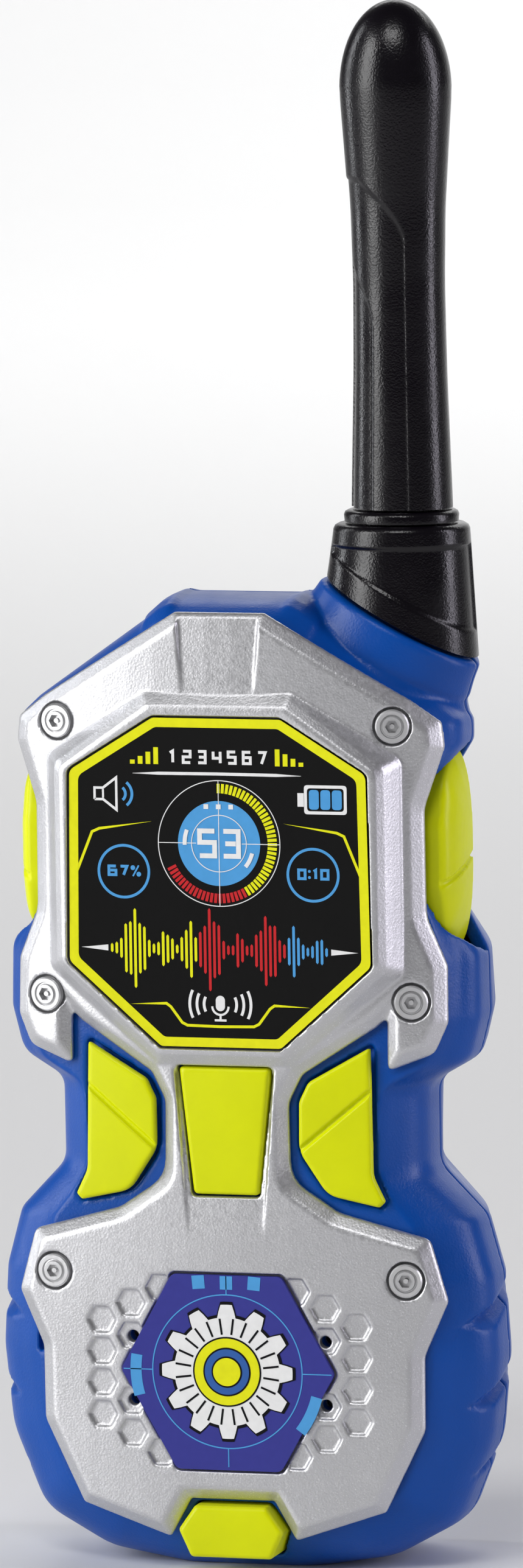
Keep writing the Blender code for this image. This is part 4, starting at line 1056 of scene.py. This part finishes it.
def print_frames(face):
    """Bars, rules and brackets round the edge of the screen, and a microphone at its foot."""
    yellow, white = [], []
    for side in (1, -1):
        for k, tall in enumerate((2.5, 1.8, 1.15, 0.6)):
            x, half = side * (9.3 + 1.2 * k), 0.36
            yellow.append(rectangle(x - half, 121.1, x + half, 121.1 + tall))
        white.append(stroke([(0.0, 119.8), (side * 9.0, 119.75), (side * 12.9, 119.7)], 0.45, taper=True))
        top = [(10.1, 112.6), (18.2, 111.4), (19.3, 110.9), (21.8, 104.8)]
        yellow.append(bracket([(side * x, z) for x, z in top]))
        low = [(13.8, 85.4), (8.3, 85.6), (7.6, 85.1), (5.9, 82.8), (5.1, 82.4), (0.0, 82.3)]
        yellow.append(bracket([(side * x, z) for x, z in low]))
        white.append([(side * 21.2, 93.7), (side * 17.1, 94.15), (side * 17.1, 93.25)])
    for k, figure in enumerate("1234567"):
        white += digit(figure, -7.6 + 2.3 * k, 121.2, 1.5, 2.1, 0.42)
    capsule = arc(0.0, 86.2, 0.7, 0, 180, 12) + arc(0.0, 85.3, 0.7, 180, 360, 12)
    holder = (arc(0.0, 85.3, 1.25, 180, 360, 14), [(0.0, 83.89), (0.0, 83.4)], [(-0.9, 83.24), (0.9, 83.24)])
    white += [capsule] + [stroke(line, 0.32) for line in holder]
    for turned in (0, 180):
        for radius in (2.5, 3.6, 4.7):
            white.append(stroke(arc(0.0, 85.6, radius, turned - 26, turned + 26, 10), 0.42))
    inked("screen_yellow", yellow, "yellow", face)
    inked("screen_white", white, "white", face)


def bracket(points):
    """A line with mitred corners whose first point is a sharp tip."""
    outline = trace(points, 0.4)
    tip = ((outline[0][0] + outline[-1][0]) / 2, (outline[0][1] + outline[-1][1]) / 2)
    return [tip] + outline[1:-1]


def print_wave(face):
    """The wave across the screen, as upright bars in three colours."""
    swells = ((-13.0, 11.4, 1.9), (-8.2, 5.4, 1.2), (-4.6, 8.4, 1.2), (-1.3, 12.0, 1.7), (3.1, 5.2, 0.9))
    swells += ((7.4, 10.2, 1.9), (11.4, 7.2, 1.2), (15.2, 4.4, 0.9))
    bars = {"yellow": [], "red": [], "sky": []}
    for k in range(47):
        x = -16.5 + 0.715 * k
        tall = max(height * math.exp(-(((x - middle) / spread) ** 2)) for middle, height, spread in swells)
        tall = max(0.9, tall * (1.0 if k % 2 else 0.74))
        ink = "yellow" if x < -3.3 else "red" if x < 10.4 else "sky"
        bars[ink].append(bar_outline(x, tall))
    for ink, outlines in bars.items():
        inked("wave_" + ink, outlines, ink, face)


def print_dial(face):
    """The round dial in the middle, with its ring of ticks and a number."""
    x, z = 0.2, 109.5
    ticks = {"yellow": [], "red": []}
    for k in range(55):
        turn = math.radians(90 - 4.5 * k)
        ends = [(x + r * math.cos(turn), z + r * math.sin(turn)) for r in (7.45, 8.85)]
        ticks["yellow" if 4.5 * k < 150 else "red"].append(stroke(ends, 0.44))
    for ink, outlines in ticks.items():
        inked("dial_ticks_" + ink, outlines, ink, face)
    banded("dial_circle", [(circle(x, z, 9.38, 96), circle(x, z, 9.25, 96))], "white", face)
    inked("dial_disc", [circle(x, z, 6.3, 72)], "sky", face)
    hairs = [stroke([(x - 9.3, z), (x - 3.5, z)], 0.11), stroke([(x + 3.5, z), (x + 9.3, z)], 0.11)]
    hairs += [stroke([(x, z - 9.3), (x, z + 9.3)], 0.11)]
    inked("dial_hairs", hairs, "white", face - 0.05)
    rings = [(circle(x, z, 4.26, 72), circle(x, z, 4.14, 72))]
    banded("dial_inner_circle", rings, "white", face - 0.07)
    marks = [rectangle(x + dx - 0.36, z + 5.1, x + dx + 0.36, z + 5.8) for dx in (-1.9, 0.0, 1.9)]
    marks += [stroke(arc(x, z, 5.25, start, start + 25, 8), 0.6) for start in (158, 320)]
    marks += digit("5", x - 3.3, z - 2.2, 3.0, 4.4, 0.72) + digit("3", x + 0.35, z - 2.2, 3.0, 4.4, 0.72)
    inked("dial_marks", marks, "white", face - 0.09)


def print_gauges(face):
    """The small round gauges, the loudspeaker sign and the battery sign."""
    white, sky = [], []
    rings = [(circle(side * 14.5, 105.1, 4.05, 64), circle(side * 14.5, 105.1, 3.65, 64)) for side in (1, -1)]
    banded("gauge_rings", rings, "sky", face)
    sky += digit("6", -17.0, 104.35, 1.5, 1.7, 0.42) + digit("7", -15.2, 104.35, 1.4, 1.7, 0.42)
    sky += [circle(-13.1, 105.65, 0.36, 14), circle(-12.2, 104.7, 0.36, 14)]
    sky.append(stroke([(-13.1, 104.4), (-12.2, 106.0)], 0.24))
    sky += digit("0", 12.1, 104.35, 1.4, 1.7, 0.42) + digit("1", 14.2, 104.35, 1.2, 1.7, 0.42)
    sky += digit("0", 15.6, 104.35, 1.4, 1.7, 0.42) + [circle(13.95, z, 0.22, 12) for z in (104.75, 105.65)]
    for radius in (1.15, 2.15):
        sky.append(stroke(arc(-15.2, 116.6, radius, -52, 52, 12), 0.42))
    horn = [(-18.8, 115.75), (-17.5, 115.75), (-15.45, 114.2)]
    horn += [(x, 2 * 116.6 - z) for x, z in reversed(horn)]
    white.append(trace(horn + horn[:1], 0.36))
    white.append(stroke([(-17.5, 115.95), (-17.5, 117.25)], 0.3))
    white.append(rectangle(12.3, 115.2, 13.25, 117.2))
    border = (frame_outline(13.3, 114.1, 19.8, 118.4), frame_outline(13.75, 114.55, 19.35, 117.95))
    banded("battery_sign", [border], "white", face)
    for x in (14.05, 15.8, 17.55):
        sky.append(frame_outline(x, 114.8, x + 1.5, 117.7))
    inked("gauge_sky", sky, "sky", face - 0.01)
    inked("gauge_white", white, "white", face - 0.01)


def bar_outline(x, tall):
    """One bar of the printed wave, with pointed ends."""
    z, half = 93.7, 0.2
    low, high = z - tall / 2, z + tall / 2
    foot = [(x - half, low), (x, low - 0.25), (x + half, low)]
    return foot + [(x + half, high), (x, high + 0.25), (x - half, high)]


def frame_outline(x0, z0, x1, z1):
    """A rounded rectangle."""
    return filleted([(x0, z0, 0.5), (x1, z0, 0.5), (x1, z1, 0.5), (x0, z1, 0.5)], 4)


def make_badge():
    """The six-sided plate over the loudspeaker, with a plain cog-like dial print."""
    face = 1.0
    plate = raw("badge_print_plate", prism(closed(BADGE_HALF), face, 1.8))
    finish(plate, "indigo", "case", "badge_blue", "badge_plate", sharp=30)
    z = BADGE_Z
    thin = [(circle(0, z, 11.6, 96), circle(0, z, 11.42, 96))]
    banded("badge_circle", thin, "sky", face, "badge_blue")
    marks = [stroke([(sx * 11.6, z), (sx * 16.0, z)], 0.16) for sx in (1, -1)]
    marks += [stroke([(0, z + s * 11.6), (0, z + s * 14.3)], 0.16) for s in (1, -1)]
    marks += [stroke(arc(0, z, 14.1, a, a + s, 10), 1.7) for a, s in ((171, 25), (322, 24))]
    marks += [stroke([(x, 43.0), (x * 1.04, 45.0)], 1.9) for x in (-4.2, 0.0, 4.2)]
    inked("badge_marks", marks, "sky", face, "badge_blue")
    outline, border = [], []
    for t in around(144):
        radius = 9.1 + 0.95 * max(-1.0, min(1.0, math.cos(12 * t) * 2.2))
        outline.append((radius * math.cos(t), z + radius * math.sin(t)))
        border.append(((radius + 0.45) * math.cos(t), z + (radius + 0.45) * math.sin(t)))
    inked("badge_cog_edge", [border], "ink_black", face - 0.03, "badge_blue")
    inked("badge_cog", [outline], "white", face - 0.08, "badge_blue")
    spokes = []
    for t in around(24):
        t += math.tau / 48
        spokes.append(stroke([(r * math.cos(t), z + r * math.sin(t)) for r in (5.6, 8.0)], 0.3))
    inked("badge_spokes", spokes, "ink_black", face - 0.13, "badge_blue")
    for name, radius, ink, lift in (
        ("badge_disc_edge", 5.25, "ink_black", 0.13), ("badge_disc_yellow", 5.0, "yellow", 0.17),
        ("badge_ring_edge", 3.65, "ink_black", 0.21), ("badge_ring_blue", 3.4, "ring", 0.25),
        ("badge_core_edge", 2.35, "ink_black", 0.29), ("badge_core_yellow", 2.1, "yellow", 0.33),
    ):
        inked(name, [circle(0, z, radius, 64)], ink, face - lift, "badge_blue")


# --- Everything else ---


def make_hardware():
    """Pieces whose CAD shape is right: they get softer edges or just their material."""
    softened = [
        ("battery_door", "blue", 0.3, 1, 0.5), ("belt_clip", "blue", 0.3, 2, 0.5),
        ("door_screw", "steel", 0.12, 1, 0.6), ("battery", "battery", 0.4, 2, 0.4),
        ("battery_snap", "dull", 0.3, 1, 0.5),
    ] + [(f"case_screw_{number}", "steel", 0.15, 1, 0.5) for number in range(1, 6)]
    for node, ink, *softness_values in softened:
        refined(node, ink, *softness_values)
    plain = {
        "antenna_wire": "copper", "circuit_board": "board", "clip_pin": "steel", "clip_spring": "steel",
        "crystal_can": "steel", "filter_capacitor": "dull", "loading_coil": "copper", "radio_chip": "dull",
        "speaker_basket": "steel", "speaker_cone": "paper", "speaker_magnet": "dull", "tuning_can": "steel",
    }
    for word in ("talk", "foot", "right_grip", "left_grip", "right_side", "left_side"):
        plain[word + "_switch"] = "steel"
    for node, ink in plain.items():
        for slot in frame["nodes"][node].material_slots:
            slot.material = PAINT[ink]


# --- The studio ---


def make_studio():
    """A pale floor and soft lights."""
    n = Nodes("floor_pale")
    n.roughness(n.spread(n.noise(4.0, 2.0, 0.5), 0.0, 1.0, 0.55, 0.65))
    n.shader.inputs["Base Color"].default_value = (0.8, 0.8, 0.8, 1)
    # Clear from behind, so that the wall doesn't hide the toy from a camera at the back.
    one_sided = n.add("ShaderNodeMixShader")
    n.link(n.add("ShaderNodeNewGeometry").outputs["Backfacing"], one_sided.inputs["Fac"])
    n.link(n.shader.outputs["BSDF"], one_sided.inputs[1])
    n.link(n.add("ShaderNodeBsdfTransparent").outputs["BSDF"], one_sided.inputs[2])
    n.link(one_sided.outputs["Shader"], n.tree.nodes["Material Output"].inputs["Surface"])
    bm = bmesh.new()
    rows = []
    bend = [math.radians(a) for a in range(0, 91, 10)]
    curve = [(2.4 + 0.8 * math.sin(a), 0.8 - 0.8 * math.cos(a)) for a in bend]
    for y, z in [(-4.0, 0.0)] + curve + [(3.2, 3.0)]:
        rows.append([bm.verts.new((x, y, z)) for x in (-4.0, 4.0)])
    for near, far in zip(rows, rows[1:]):
        bm.faces.new((near[0], near[1], far[1], far[0]))
    mesh = bpy.data.meshes.new("studio_floor")
    bm.to_mesh(mesh)
    bm.free()
    mesh.shade_smooth()
    mesh.materials.append(n.material)
    floor = bpy.data.objects.new("studio_floor", mesh)
    bpy.context.collection.objects.link(floor)

    world = bpy.data.worlds.new("studio")
    bpy.context.scene.world = world
    world.use_nodes = True
    sky = world.node_tree.nodes["Background"].inputs
    sky["Color"].default_value, sky["Strength"].default_value = (1, 1, 1, 1), 0.06
    bpy.context.scene.view_settings.view_transform = "Standard"

    aim = Vector((0.0, 0.0, 0.11))
    for name, place, width, height, power, colour in (
        ("key_left", (-1.05, -0.95, 0.5), 0.6, 1.2, 16.0, (1.0, 1.0, 1.0)),
        ("strip_right", (1.3, 0.05, 0.3), 0.3, 1.4, 9.5, (0.92, 0.88, 1.0)),
        ("front_high", (0.0, -1.1, 1.3), 0.7, 0.35, 6.0, (1.0, 1.0, 1.0)),
        ("strip_left", (-1.3, 0.15, 0.3), 0.15, 1.4, 5.5, (0.95, 0.97, 1.0)),
        ("backdrop", (0.0, 2.1, 1.7), 3.0, 1.4, 48.0, (1.0, 1.0, 1.0)),
    ):
        light = bpy.data.lights.new(name, "AREA")
        light.shape = "RECTANGLE"
        light.size, light.size_y, light.energy, light.color = width, height, power, colour
        lamp = bpy.data.objects.new(name, light)
        lamp.location = place
        target = Vector((0.0, 2.6, 0.1)) if name == "backdrop" else aim
        lamp.rotation_euler = (target - Vector(place)).to_track_quat("-Z", "Y").to_euler()
        bpy.context.collection.objects.link(lamp)


def make_camera():
    """A long lens from the front, a little to the right and above."""
    turn, tilt, roll = math.radians(16.3), math.radians(6.9), math.radians(-0.91)
    target, distance = (0.00698, FRONT_Y, 0.1185), 1.719
    facing = Matrix.Rotation(turn, 4, "Z") @ Matrix.Rotation(math.pi / 2 - tilt, 4, "X")
    facing = facing @ Matrix.Rotation(roll, 4, "Z") @ Matrix.Translation((0, 0, distance))
    camera = bpy.data.objects.new("camera", bpy.data.cameras.new("camera"))
    camera.data.lens = 269.0
    camera.data.sensor_width = 36.0
    camera.data.clip_end = 20.0
    camera.matrix_world = Matrix.Translation(target) @ facing
    bpy.context.collection.objects.link(camera)
    bpy.context.scene.camera = camera


PAINT.update(make_materials())
make_fascia_skin()
make_front_case()
make_rear_case()
make_bolts()
make_keys()
make_antenna()
make_screen()
make_badge()
make_hardware()
make_studio()
make_camera()
